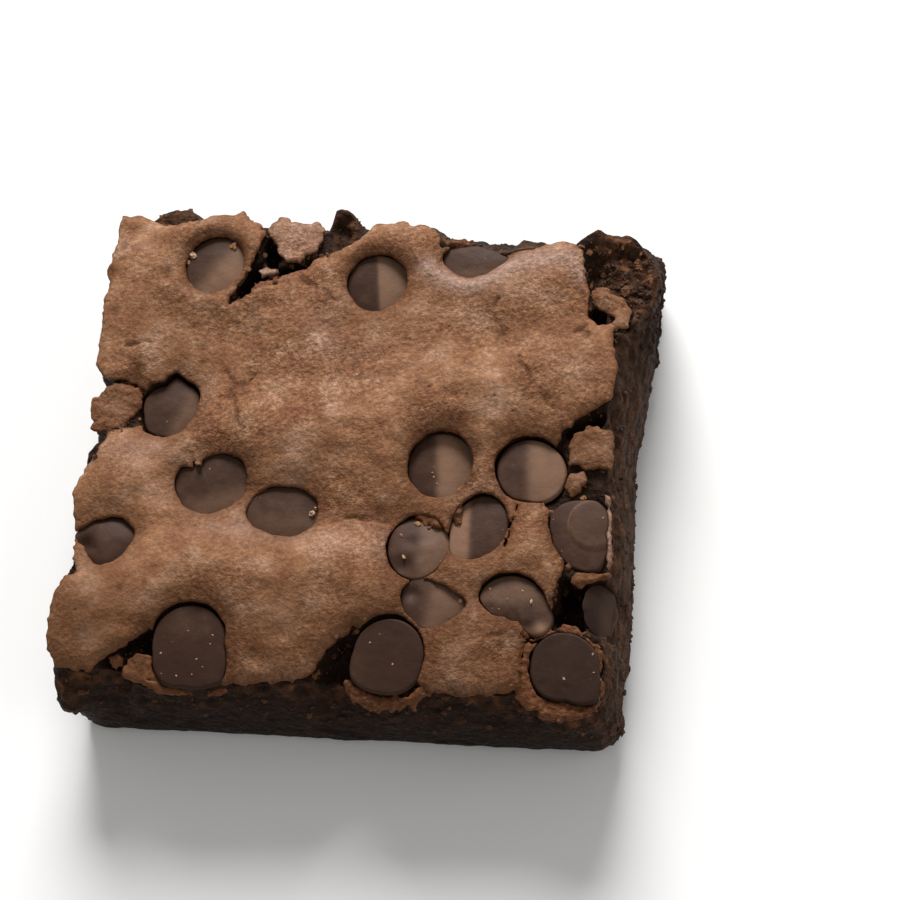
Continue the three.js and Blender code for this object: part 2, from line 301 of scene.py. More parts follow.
# Chips: the round of each one that shows through the crust, and what tells it from the next
# hole is the outline that shows; sink is how deep the chip lies; ring is how high the crust stands round it;
# shade is the direction of the lighter part, where that starts from the middle, how soft its edge is and how
# much lighter it is: a painted highlight, with a darker part instead where that amount is below 0; slope is
# how far that part leans away; dents are hollows (x, y, width, depth); the pale knob (x, y, width, amount) is
# a small rise with a painted highlight on it; disc is a raised round (x, y, radius); lean is the rise along x
# and y.
chips = {
    "chip_01": {
        "hole": [
            (-24.9, 26.5), (-24.2, 28.4), (-22.6, 29.8), (-20.6, 30.3), (-18.6, 29.6), (-17.3, 28.0),
            (-17.0, 26.0), (-17.8, 24.0), (-19.2, 22.6), (-21.0, 22.0), (-22.8, 22.3), (-24.2, 23.8),
        ],
        "sink": 0.9, "ring": 0.9, "shade": (-35, 0.2, 0.9, 0.9), "slope": 0.1,
    },
    "chip_02": {
        "hole": [
            (-2.7, 24.2), (-2.2, 26.3), (-0.8, 27.8), (1.2, 28.4), (3.2, 27.9), (4.8, 26.4), (5.4, 24.4),
            (4.9, 22.4), (3.5, 20.9), (1.6, 20.1), (-0.4, 20.6), (-2.0, 22.2),
        ],
        "sink": 1.0, "ring": 0.5, "shade": (8, 0.1, 0.25, 0.9), "slope": 0.14,
    },
    "chip_03": {
        "hole": [
            (9.5, 28.6), (10.2, 29.5), (12.4, 29.8), (15.0, 29.5), (17.0, 28.9), (18.5, 28.4), (16.6, 26.7),
            (14.8, 25.7), (13.0, 25.3), (11.3, 26.0), (9.9, 27.2),
        ],
        "sink": 0.9, "depth": 1.8, "ring": 0.5, "shade": (-80, 0.6, 0.9, 0.4), "slope": 0.05,
    },
    "chip_04": {
        "hole": [
            (-24.4, 10.7), (-22.6, 9.6), (-20.7, 8.2), (-20.6, 6.0), (-21.4, 3.6), (-22.8, 1.9),
            (-25.4, 1.6), (-27.4, 2.3), (-28.3, 4.6), (-28.5, 7.2), (-27.6, 8.6), (-25.7, 9.3),
        ],
        "soften": 4, "sink": 1.2, "grow": -0.25, "shade": (-20, 1.6, 0.8, 0.5), "slope": 0.1,
    },
    "chip_05": {
        "hole": [
            (-22.3, -4.4), (-21.8, -2.4), (-20.5, -1.5), (-19.8, -2.5), (-19.0, -2.2), (-18.9, -1.2),
            (-17.6, -0.4), (-15.6, -0.3), (-13.6, -1.3), (-12.7, -3.2), (-13.0, -5.6), (-14.6, -7.6),
            (-17.0, -8.7), (-19.6, -8.3), (-21.4, -6.8),
        ],
        "soften": 4, "sink": 0.9, "shade": (-75, 1.6, 1.0, 0.55), "slope": 0.04,
    },
    "chip_06": {
        "hole": [
            (-12.4, -8.0), (-11.6, -6.2), (-9.8, -4.9), (-7.4, -4.5), (-5.0, -4.9), (-3.3, -6.2),
            (-2.8, -8.0), (-3.1, -9.6), (-4.6, -10.9), (-7.2, -11.2), (-9.8, -10.6), (-11.6, -9.5),
        ],
        "sink": 0.8, "shade": (-90, 0.2, 1.2, 0.35), "slope": 0.04,
    },
    "chip_07": {
        "hole": [
            (-34.8, -12.2), (-33.4, -11.0), (-31.2, -10.0), (-29.2, -9.7), (-27.2, -10.7), (-26.4, -11.8),
            (-27.2, -13.6), (-28.8, -15.6), (-30.6, -16.3), (-32.0, -15.4), (-33.0, -13.8),
        ],
        "sink": 0.7, "dome": 0.8, "dents": [(-2.4, -0.2, 1.2, 0.9), (-1.2, -0.9, 0.5, 0.2)],
    },
    "chip_08": {
        "hole": [
            (-22.3, -27.5), (-22.5, -25.2), (-22.0, -22.9), (-20.0, -21.0), (-17.2, -20.4), (-14.8, -21.2),
            (-13.2, -23.0), (-12.8, -26.0), (-12.7, -31.0), (-14.6, -31.8), (-17.5, -31.9), (-20.6, -31.5),
            (-21.8, -30.0),
        ],
        "soften": 4, "sink": 0.85, "depth": 1.8, "grow": -0.05, "shift": (0.05, -0.25),
        "shade": (-90, 1.0, 2.0, -0.3), "dome": 0.2,
    },
    "chip_09": {
        "hole": [
            (3.5, -29.5), (3.4, -25.5), (4.2, -22.8), (6.2, -21.1), (8.6, -20.7), (11.0, -21.8),
            (12.5, -24.0), (12.9, -26.8), (12.2, -29.4), (10.4, -31.0), (7.6, -31.3), (5.2, -30.8),
        ],
        "sink": 0.85, "depth": 1.8, "grow": -0.15, "shift": (0.15, -0.25), "shade": (60, -1.0, 2.0, -0.25),
        "dome": 0.2,
    },
    "chip_10": {
        "hole": [
            (8.1, -0.6), (8.6, 1.7), (10.2, 3.4), (12.4, 3.9), (14.6, 3.2), (16.1, 1.4), (16.5, -0.9),
            (15.8, -3.1), (14.2, -4.7), (12.0, -5.2), (9.9, -4.4), (8.5, -2.7),
        ],
        "sink": 1.2, "ring": 0.3, "shade": (6, -0.5, 0.5, 1.0), "slope": 0.16,
        "dents": [(-0.6, -1.7, 0.4, 0.06)],
    },
    "chip_11": {
        "hole": [
            (19.3, -0.6), (19.9, 1.8), (21.8, 3.4), (24.0, 3.7), (26.4, 2.8), (28.1, 0.9), (28.6, -1.3),
            (27.9, -3.4), (26.2, -4.9), (23.8, -5.1), (21.4, -4.6), (19.9, -2.9),
        ],
        "sink": 1.0, "grow": -0.12, "ring": 0.2, "shade": (5, -0.4, 0.7, 0.8), "slope": 0.08,
    },
    "chip_12": {
        "hole": [
            (6.5, -11.6), (7.2, -9.4), (8.8, -8.0), (10.8, -7.6), (12.8, -8.3), (14.2, -10.0),
            (14.5, -12.0), (13.6, -14.2), (12.0, -15.6), (10.0, -16.0), (8.0, -15.0), (6.9, -13.4),
        ],
        "sink": 0.7, "grow": 0.0, "dome": 0.8, "shade": (0, 0.3, 0.8, 0.45),
        "dents": [
            (-0.9, 0.5, 1.0, 0.25), (1.2, 1.3, 1.0, 0.12), (-1.6, -2.6, 1.2, 0.5), (0.6, -1.2, 0.7, 0.08),
        ],
    },
    "chip_13": {
        "hole": [
            (14.4, -10.2), (14.7, -7.6), (16.2, -5.4), (18.2, -4.3), (20.2, -4.9), (21.5, -6.9),
            (21.7, -9.0), (20.9, -11.2), (19.0, -12.7), (16.8, -13.1), (14.8, -12.6),
        ],
        "sink": 0.8, "grow": 0.1, "shade": (184, 1.2, 0.35, 1.0), "slope": 0.12,
    },
    "chip_14": {
        "hole": [
            (9.2, -17.4), (10.6, -15.9), (13.6, -16.5), (15.8, -17.5), (17.7, -18.8), (16.8, -20.2),
            (15.2, -21.5), (13.2, -22.2), (11.0, -21.4), (9.5, -19.6),
        ],
        "sink": 1.0, "shade": (-10, -0.6, 0.9, 0.6), "slope": 0.08, "dents": [(-3.0, 1.3, 0.9, 0.5)],
    },
    "chip_15": {
        "hole": [
            (18.7, -17.6), (19.7, -15.8), (21.8, -14.7), (24.2, -14.8), (26.4, -16.2), (27.8, -18.4),
            (28.6, -20.8), (28.0, -22.2), (26.4, -22.8), (25.2, -22.4), (24.6, -21.0), (22.6, -20.4),
            (20.2, -19.6),
        ],
        "sink": 0.9, "grow": 0.0, "shade": (100, 0.2, 0.9, 0.35), "paintedHighlightKnob": (3.5, -3.2, 1.1, 1.0),
        "slope": 0.1, "dents": [(1.6, -2.6, 0.6, 0.25), (-3.2, -0.6, 0.6, 0.2)],
    },
    "chip_16": {
        "hole": [
            (26.9, -6.4), (28.2, -4.9), (30.6, -4.3), (32.6, -4.4), (33.8, -5.4), (34.2, -9.0),
            (34.3, -12.2), (33.6, -13.6), (32.0, -13.8), (30.2, -13.3), (28.6, -11.8), (27.3, -9.2),
        ],
        "soften": 4, "sink": 1.1, "depth": 1.7, "grow": 0.05, "dome": 0.4, "disc": (2.0, 1.5, 3.3),
    },
    "chip_17": {
        "hole": [
            (32.0, -17.0), (32.6, -15.2), (33.8, -14.5), (35.0, -15.0), (35.6, -16.8), (35.6, -19.2),
            (35.0, -21.0), (33.9, -21.8), (32.8, -20.9), (32.1, -19.0),
        ],
        "sink": 3.3, "depth": 1.6, "grow": 0.0, "dome": 0.6, "lean": (-1.0, 0.1),
        "shade": (180, -0.2, 0.4, -0.5),
    },
    "chip_18": {
        "hole": [
            (26.1, -26.4), (26.4, -24.2), (27.8, -22.6), (30.2, -21.9), (32.6, -22.7), (34.2, -24.2),
            (34.8, -27.2), (34.7, -30.9), (31.0, -30.9), (28.0, -30.5), (26.6, -29.0),
        ],
        "soften": 4, "sink": 0.6, "depth": 1.7, "grow": 0.0, "shift": (0.1, 0), "dome": 0.15,
        "shade": (0, -9.0, 2.0, -0.4), "dents": [(0.4, -2.6, 0.4, 0.08)],
    },
}

# what a chip has where nothing else is given
usualChip = {
    "ring": 0,
    "soften": 11,  # over how many degrees either way the corners of its hole are evened out
    "grow": 0.3,  # how far it runs on under the crust, or stops short of it
    "dome": 0.35,  # how far its rim lies below its middle
    "depth": 3.2,
    "shift": (0, 0),  # how far it lies from the middle of its hole
    "dents": [],
    "leanPart": 0.8,  # how much of the crust's slope it follows
}

# every direction round a chip, a degree apart
fullTurn = np.linspace(-math.pi, math.pi, 361)

# a hole's reach for each direction: its corners' reach, joined up and evened out over a few degrees
for chip in chips.values():
    for key, value in usualChip.items():
        chip.setdefault(key, value)
    seen = np.array(asSeen(chip["hole"]))
    chip["middle"] = (seen.min(axis=0) + seen.max(axis=0)) / 2
    arm = seen - chip["middle"]
    heading = np.arctan2(arm[:, 1], arm[:, 0])
    order = np.argsort(heading)
    reachOut = np.interp(fullTurn, heading[order], np.hypot(*arm.T)[order], period=2 * math.pi)
    half = chip["soften"]
    weights = np.hanning(2 * half + 3)[1:-1]
    evened = np.convolve(np.pad(reachOut[:-1], half, mode="wrap"), weights / weights.sum(), mode="valid")
    chip["rim"] = np.append(evened, evened[0])
    nearby = np.array([[0.0, 0.0], [1.0, 0.0], [0.0, 1.0]]) + chip["middle"]
    z = swellHeight(nearby[:, 0], nearby[:, 1])
    chip["level"] = z[0] - chip["sink"]
    chip.setdefault("lean", (chip["leanPart"] * (z[1] - z[0]), chip["leanPart"] * (z[2] - z[0])))


# distance outwards from a chip's hole: how far the place is from the middle, less the hole's reach that way
def fromChip(chip, x, y):
    dx, dy = x - chip["middle"][0], y - chip["middle"][1]
    return np.hypot(dx, dy) - np.interp(np.arctan2(dy, dx), fullTurn, chip["rim"])


# dark, sunken blisters: x, y, width
blisters = [
    (-34.0, 28.5, 0.6), (-34.0, 26.7, 0.5), (-35.2, 24.9, 0.8), (-33.9, 19.0, 0.9), (-14.0, 17.1, 0.7),
    (-21.0, 14.1, 0.6), (-20.6, 12.2, 0.5), (-22.5, 17.0, 0.45), (5.4, -13.1, 0.7), (4.9, -7.0, 0.9),
    (-24.0, -18.4, 0.4), (-27.1, -19.3, 0.5), (29.6, 18.0, 0.6), (-7.0, -13.6, 0.5), (-3.1, -20.2, 0.35),
    (13.5, 8.4, 0.4), (-27.2, 24.4, 1.3), (-29.6, 10.6, 1.5), (-3.0, 4.1, 0.35), (18.6, 17.6, 0.9),
    (-10.2, -17.8, 0.3), (22.2, -23.6, 0.5), (-29.0, -5.8, 0.4), (6.9, -17.6, 0.4),
]

# shallow cracks in the skin, each a line of points
grooves = [
    [(-17.5, 11.0), (-16.3, 9.6), (-15.4, 9.0), (-14.3, 9.5), (-13.7, 10.6)],
    [(-16.0, 9.2), (-16.4, 7.6), (-15.2, 6.0), (-14.8, 4.4), (-13.6, 2.8)],
    [(-9.2, 24.6), (-7.2, 23.4), (-5.4, 22.4), (-3.6, 21.2)],
    [(-14.2, 23.2), (-13.2, 23.4), (-12.2, 23.8)],
    [(21.2, 14.2), (21.6, 13.0), (22.4, 12.2), (23.0, 11.2)],
    [(25.1, 9.8), (25.0, 8.8), (25.6, 8.0), (26.2, 7.4)],
    [(29.5, 19.6), (28.8, 18.6), (28.0, 18.2)],
    [(-0.8, -8.6), (1.6, -8.0), (4.0, -7.9), (6.0, -8.4)],
    [(14.4, -27.4), (15.4, -28.4), (16.6, -29.4), (18.0, -30.2)],
    [(9.2, 27.2), (9.9, 26.2), (10.6, 25.4)],
    [(-24.9, 20.2), (-24.1, 20.8), (-23.2, 21.2)],
    [(17.6, 22.4), (17.2, 20.6), (17.9, 18.9)],
    [(22.8, -21.9), (21.6, -22.6), (20.4, -22.4)],
    [(-31.4, 14.0), (-29.6, 14.8), (-27.8, 14.6)],
]


# how deep in a groove a place is, from 0 to 1; each groove wavers and fades along its way
def grooveDepth(x, y):
    wx = x + 0.3 * lumps(x / 0.9, y / 0.9, 1.0, 51)
    wy = y + 0.3 * lumps(x / 0.9, y / 0.9, 2.0, 52)
    depth = np.zeros(np.shape(x))
    for path in grooves:
        depth = np.maximum(depth, bump(toPath(path, wx, wy), 0.27))
    return depth * ramp(-1.0, -0.1, lumps(x / 1.6, y / 1.6, 3.0, 53))


# the crust's smaller shapes
relief = {
    "broadLumps": 0.24,
    "smallLumps": 0.13,
    "bowlDepth": (0.4, 0.62),  # round a chip, on its near side and on its far side
    "bowlWidth": (1.2, 2.1),
    "ringCrest": 1.4,  # how far from the hole a raised ring is highest
    "ringWidth": (1.2, 3.2),  # inwards and outwards from there
    "blisterDepth": 0.3,  # for each millimetre of its width
}


# height of the unbroken crust: swells, lumps, a bowl or a ring round each chip, and blisters
def crustHeight(x, y):
    z = swellHeight(x, y) + relief["broadLumps"] * lumps(x / 4.5, y / 4.5, 3)
    z = z + relief["smallLumps"] * lumps(x / 2.1, y / 1.7, 9)
    for chip in chips.values():
        away = fromChip(chip, x, y)
        behind = ramp(-2, 3, y - chip["middle"][1])
        depth, width = mix(*relief["bowlDepth"], behind), mix(*relief["bowlWidth"], behind)
        z = z - depth * bump(np.maximum(0, away), width)
        past = away - relief["ringCrest"]
        z = z + chip["ring"] * bump(past, np.where(past < 0, *relief["ringWidth"]))
    for bx, by, width in blisters:
        z = z - relief["blisterDepth"] * width * bump(np.hypot(x - bx, y - by), width)
    return z


# Crumb: the dark, moist inside, bare at the cut sides and where the crust is gone

crumb = {
    "step": 0.33,  # spacing of the surface's points
    "underCrust": 0.95,  # how far below the crust's top it starts
    "clodSize": 2.2,
    "clodHeight": 1.3,
    "crumbSize": 0.9,
    "crumbHeight": 0.5,
    "cragHeight": 0.6,
    "smallCragHeight": 0.3,
    "pitDepth": 1.3,
    "grainHeight": 0.2,
    "streakHeight": 0.22,  # drag marks of the knife on the right-hand side
    "cutClean": 0.65,  # roughness left on that side
    "size": (70, 64),  # the block's plan, for rounding its corners
    "seatGap": 0.6,  # how far the crumb reaches up round a chip's foot
}

# the crust's edge on each side: place along the side, width of the bulge or notch, and how far out
edgeForms = {
    "left": [(-6, 3, 0.9), (-22.5, 5, 1.2), (24, 10, 0.4), (8.9, 0.9, -1.7), (1.5, 1.3, -2.3)],
    "right": [(7.6, 1.2, -0.5), (-9, 4.5, 0.8)],
    "front": [
        (-26, 2.5, -0.9), (1.5, 2.2, -1.1), (25, 1.2, -0.8), (-17.5, 3.8, 1.3), (8, 4.2, 1.4),
        (31, 4.2, 1.6),
    ],
    "back": [
        (-28, 3, -1.2), (-19, 4, 0.5), (-15.6, 0.9, -0.7), (-12.5, 1.6, 0.4), (-1, 1.6, -0.9), (3, 4, 1.0),
        (17, 3, -0.8),
    ],
}

# where the bare crumb on top is drier, and painted shade in the cracks at the back left: x, y, width and
# amount
dryAndShadedPlaces = [(-3, 32, 3, 1.2), (-27.5, 33, 4, 1.2), (-13, 26, 5, -1.6)]


# clods with small crumbs on them: how high each stands, from the distance to the nearest heart
def clodField(x, y, z, seed):
    size, small = crumb["clodSize"], crumb["crumbSize"]
    wx, wy, wz = (
        c + 0.5 * lumps(x / 1.7 + shift, y / 1.7, z / 1.7, seed) for c, shift in ((x, 0), (y, 31), (z, 67))
    )
    large = 0.5 - clods(wx / size, wy / size, wz / (size * 0.8), seed)
    fine = 0.45 - clods(wx / small, wy / small, wz / small, seed + 4)
    return crumb["clodHeight"] * large + crumb["crumbHeight"] * fine


# roughness of a cut side, in mm outwards: large crags, clods with clefts between them, pits, and fine grain
def sideDetail(x, y, z, w):
    strength = ramp(0, 0.1, w) * (0.85 - 0.35 * ramp(0.93, 1, w))
    coarse = crumb["cragHeight"] * lumps(x / 4.8, y / 4.8, z / 3.6)
    fine = crumb["smallCragHeight"] * lumps(x / 2.1 + 50, y / 2.1, z / 1.7)
    pits = crumb["pitDepth"] * ramp(0.4, 0.75, lumps(x / 2.7, y / 3.4, z / 2.2, 31))
    grain = crumb["grainHeight"] * rough(x, y, z, 0.9, 2, 12)
    return strength * (coarse + fine + clodField(x, y, z, 4) - pits + grain)


# all the bulges and notches of a side's edge, added up
def edgeForm(side, along):
    return sum(out * bump(along - place, width) for place, width, out in edgeForms[side])


# the four sides: how far out each lies, for w from 0 at the base to 1 at the crust
def leftOut(y, w):
    lobe = 1.3 * bump(y + 31, 3) * bump(w - 0.72, 0.22)
    return through(35.2, 35.8, 34.3 + edgeForm("left", y) + 0.8 * ramp(26, 31, y), w) + lobe


def rightOut(y, w):
    top = slab["halfWidth"] - 0.033 * (y + 30) + edgeForm("right", y) + 4.6 * ramp(14, 26, y)
    top = top + 0.6 * (1 - ramp(-25, -21, y))
    waist = 0.9 * bump(y - 4, 8)
    return through(35.2 + 0.9 * ramp(8, 34, y) - waist, 36.5 + 0.9 * ramp(5, 25, y) - waist, top - 0.2, w)


def frontOut(x, w):
    top = 1.1 - edgeForm("front", x) + slab["frontEdge"]  # further out below the chips
    lobe = 2.4 * bump(x + 35, 3) * bump(w - 0.72, 0.2)
    lip = 1.0 * bump(x - 31, 4) * bump(w - 0.86, 0.12)
    return -through(-32.9 + 0.015 * (x + 35), -32.4, top, w) + lobe + lip


def backOut(x, w):
    corner = 2.9 * ramp(25, 30, x) - 2.5 * ramp(33, 38, x) + 0.7 * (1 - ramp(-34, -30, x))
    corner = corner - 1.6 * ramp(7, 10, x)
    hump = 4.4 * bump(x + 27.6, 3.4) * bump(w - 0.95, 0.12)
    spike = 3.2 * ramp(-6.4, -5.7, x) * (1 - ramp(-5.6, 0.4, x)) * bump(w - 0.98, 0.12)
    return through(34.6, 34.8, slab["backEdge"] - 0.6 + edgeForm("back", x) + corner, w) + hump + spike


# a point of the block: s from left to right, t from front to back, w from the base to the crust;
# the middle is blended between the sides, whose roughness fades inwards, and corners and foot are rounded
def blockPlace(s, t, w):
    z = w * slab["crustLevel"]
    alongY = mix(slab["frontEdge"], slab["backEdge"], t)
    onRight = s > 0.5
    edgeX = np.where(onRight, 36.0, -36.0)
    edgeY = np.where(t > 0.5, 34.0, -33.0)
    nearX = ramp(0.93, 1.0, 2 * np.abs(s - 0.5))
    nearY = ramp(0.93, 1.0, 2 * np.abs(t - 0.5))
    streaks = lumps(alongY / 5.5, z / 1.1, 5.0, 17) + 0.5 * lumps(alongY / 2.6, z / 0.7, 2.0, 18)
    streaks = crumb["streakHeight"] * streaks * ramp(0.05, 0.2, w) * onRight
    dragged = ramp(0.15, 0.4, w) * (1 - ramp(0.75, 0.95, w)) * (1 - ramp(12, 22, alongY)) * onRight
    acrossDetail = sideDetail(edgeX, alongY, z, w) * np.where(onRight, crumb["cutClean"], 1.0)
    outX = np.sign(s - 0.5) * nearX
    outwards = acrossDetail * (1 - 0.6 * dragged) + streaks
    x = mix(-leftOut(alongY, w), rightOut(alongY, w), s) + outX * outwards
    atFront = mix(0.2, 0.65, ramp(0.6, 0.85, w))  # the front's foot is pressed smooth
    pressed = np.where(t < 0.5, atFront, mix(1.0, 0.5, ramp(20, 28, x)))
    outY = np.sign(t - 0.5) * nearY
    y = mix(-frontOut(x, w), backOut(x, w), t) + outY * sideDetail(x, edgeY, z, w) * pressed
    wide, deep = crumb["size"]
    fromCorner = np.hypot(wide * np.minimum(s, 1 - s), deep * np.minimum(t, 1 - t))
    tuck = 0.8 * bump(fromCorner, 1.7) + 0.5 * bump(w, 0.03)
    return x - tuck * outX, y - tuck * outY


# height of the crumb's top: under the crust, deeper and cloddy in bare spots, with a seat below each chip
def crumbTop(x, y):
    lost = np.zeros(np.shape(x))
    for spot in bareSpots:
        ragged = reach(spot, x, y) + 0.2 * lumps(x / 1.6, y / 1.6, 21)
        lost = np.maximum(lost, spot["depth"] * (1 - ramp(0.7, 1.15, ragged)))
    under = crustHeight(x, y) - crumb["underCrust"]
    bare = ramp(0.1, 0.9, lost)
    z = under - lost - 0.3 + (0.45 + 0.6 * bare) * clodField(x, y, 2.2, 14)
    z = z + bare * 0.35 * rough(x, y, 3.0, 1.2, 2, 40)
    z = np.minimum(z, under + bare * 0.9)
    for chip in chips.values():
        seat = np.minimum(z, chip["level"] - chip["dome"] - chip["depth"] + crumb["seatGap"])
        z = mix(seat, z, ramp(-0.4, 0.25, fromChip(chip, x, y)))
    return z


# the whole block: a grid over the top, rings down the sides, and a fan for the flat base
def makeCrumb(material):
    columns = round(2 * slab["halfWidth"] / crumb["step"])
    rows = round((slab["backEdge"] - slab["frontEdge"]) / crumb["step"])
    s, t = np.meshgrid(np.linspace(0, 1, columns + 1), np.linspace(0, 1, rows + 1))
    x, y = blockPlace(s, t, np.ones_like(s))
    z = crumbTop(x, y)
    number = np.arange(s.size).reshape(s.shape)
    edge = np.concatenate([number[0, :-1], number[:-1, -1], number[-1, :0:-1], number[:0:-1, 0]])
    levels = round(slab["crustLevel"] / crumb["step"])
    w = np.linspace(1, 0, levels + 1)[1:, None]
    ringS, ringT = s.ravel()[edge][None, :], t.ravel()[edge][None, :]
    sideX, sideY = blockPlace(ringS + 0 * w, ringT + 0 * w, w + 0 * ringS)
    waver = 0.3 * lumps(sideX / 1.3, sideY / 1.3, w * 15, 61) * ramp(0, 0.1, w) * ramp(0, 0.06, 1 - w)
    sideZ = w * z.ravel()[edge][None, :] + waver
    points = np.concatenate([
        np.stack([x, y, z], -1).reshape(-1, 3),
        np.stack([sideX, sideY, sideZ], -1).reshape(-1, 3),
        [[0, 0, 0]],
    ])
    side = s.size + np.arange(levels * len(edge)).reshape(levels, -1)
    rings = np.concatenate([edge[None, :], side])
    after = np.roll(rings, -1, axis=1)
    walls = np.stack([rings[1:], after[1:], after[:-1], rings[:-1]], -1).reshape(-1, 4)
    base = np.stack([np.full(len(edge), len(points) - 1), after[-1], rings[-1]], -1)
    # where the knife has dragged the crumb: the right-hand side, less of it close under the crust
    smear = np.zeros(len(points))
    dragged = ramp(33, 35, sideX) * (1 - ramp(12, 22, sideY)) * ramp(0.1, 0.3, w)
    smear[s.size:-1] = (dragged * (1 - 0.7 * ramp(0.75, 0.95, w))).ravel()
    topClods, sideClods = clodField(x, y, 2.2, 14), clodField(sideX, sideY, sideZ, 4)
    # painted highlight on the clods' tops, and so painted shade in the clefts between them
    paintedCrestHighlight = ramp(-0.9, 0.75, np.concatenate([topClods.ravel(), sideClods.ravel(), [0]]))
    # browner and drier close under the crust, on the lobe at the front left and at the back right corner;
    # darker at the foot
    dryAndPaintedShade = np.zeros(len(points))
    onLobe = bump(np.hypot(sideX + 35.5, sideY + 31), 3.5) * bump(w - 0.75, 0.2)
    dryAndPaintedShade[s.size:-1] = (ramp(0.74, 0.95, w) - 0.6 * (1 - ramp(0.3, 0.7, w)) + onLobe).ravel()
    topX, topY = x.ravel(), y.ravel()
    dryAndPaintedShade[:s.size] = 1.3 * ramp(28, 31, topX) * ramp(20, 25, topY)
    for px, py, width, amount in dryAndShadedPlaces:
        dryAndPaintedShade[:s.size] += amount * bump(np.hypot(topX - px, topY - py), width)
    faces = [gridFaces(rows + 1, columns + 1), walls, base]
    attributes = {"smear": smear, "paintedCrestHighlight": paintedCrestHighlight, "dryAndPaintedShade": dryAndPaintedShade}
    return makePiece("crumb", points, faces, material, attributes)


# Crust: the thin baked skin, with holes over the chips, cracks, and broken sheets

crust = {
    "step": 0.29,
    "brokenStep": 0.19,
    "thickness": 0.6,
    "rimThickness": 0.38,
    "ragged": 0.24,  # how far the torn edge strays
    "reliefWay": 22,  # degrees by which the skin's wrinkles slant
    "wrinkle": 0.06,  # height of the wrinkles
    "fewestCells": 40,  # a scrap with fewer is dropped
    "fewestBroken": 6,  # the same, for the broken sheets
    "snap": 0.62,  # how far an edge point may move, in steps of the grid
    "probe": 0.04,  # step for measuring how steeply the distance to the edge changes
}

# the unbroken sheet, anticlockwise from its front left corner
mainSheet = [
    (-34.6, -30.4), (-30.0, -30.6), (-28.8, -29.2), (-26.8, -27.8), (-25.4, -27.0), (-22.9, -24.0),
    (-22.0, -26.0), (-19.0, -29.0), (-13.0, -31.6), (-10.8, -31.2), (-6.0, -30.8), (-2.3, -30.1),
    (-0.6, -28.6), (-0.7, -27.9), (1.1, -25.3), (3.4, -22.4), (8.0, -25.0), (12.4, -29.8), (13.4, -30.6),
    (15.4, -30.9), (19.1, -31.0), (23.0, -30.5), (25.2, -29.3), (25.4, -26.0), (25.1, -23.6), (25.9, -22.6),
    (28.6, -21.6), (28.9, -20.4), (28.2, -17.0), (28.6, -15.6), (29.3, -14.0), (29.4, -12.6), (27.0, -8.0),
    (27.1, -6.4), (26.3, -5.2), (26.0, -2.0), (27.0, 2.6), (27.6, 4.6), (29.6, 6.4), (31.2, 7.4),
    (32.6, 8.4), (33.6, 9.5), (33.7, 13.0), (33.3, 16.3), (33.0, 19.1), (32.0, 19.4), (30.8, 19.2),
    (29.6, 20.3), (29.1, 22.2), (29.5, 23.6), (29.0, 25.6), (28.6, 27.3), (28.0, 29.6), (26.7, 30.6),
    (25.2, 30.9), (22.3, 29.9), (18.4, 28.7), (14.4, 29.8), (11.5, 30.0), (9.3, 29.9), (8.6, 31.6),
    (7.2, 32.7), (5.4, 32.6), (3.9, 33.2), (2.0, 32.6), (0.4, 32.4), (-1.4, 30.9), (-2.9, 29.4),
    (-4.6, 28.6), (-6.2, 27.9), (-7.6, 27.0), (-8.6, 25.8), (-10.4, 25.2), (-11.6, 24.8), (-12.0, 24.2),
    (-13.4, 23.9), (-14.9, 23.3), (-15.6, 21.7), (-17.9, 20.4), (-18.0, 21.4), (-16.6, 24.0), (-15.6, 26.6),
    (-14.9, 28.8), (-14.6, 30.6), (-15.4, 31.8), (-16.4, 32.6), (-18.1, 33.7), (-20.7, 33.2), (-23.5, 32.5),
    (-25.5, 31.9), (-28.7, 31.6), (-30.2, 32.2), (-32.4, 33.0), (-35.0, 33.0), (-35.3, 27.7), (-35.7, 25.0),
    (-35.4, 21.8), (-35.6, 18.6), (-35.2, 16.0), (-35.3, 12.0), (-34.9, 10.5), (-33.4, 9.2), (-31.6, 9.4),
    (-29.6, 9.2), (-28.0, 8.2), (-26.0, 6.0), (-27.6, 3.2), (-29.6, 2.6), (-32.2, 1.8), (-33.2, -1.4),
    (-34.4, -3.3), (-35.6, -6.0), (-35.3, -9.9), (-34.6, -13.0), (-34.3, -15.6), (-33.4, -17.2),
    (-34.9, -18.1), (-36.0, -20.3), (-36.4, -23.8), (-35.9, -27.6),
]
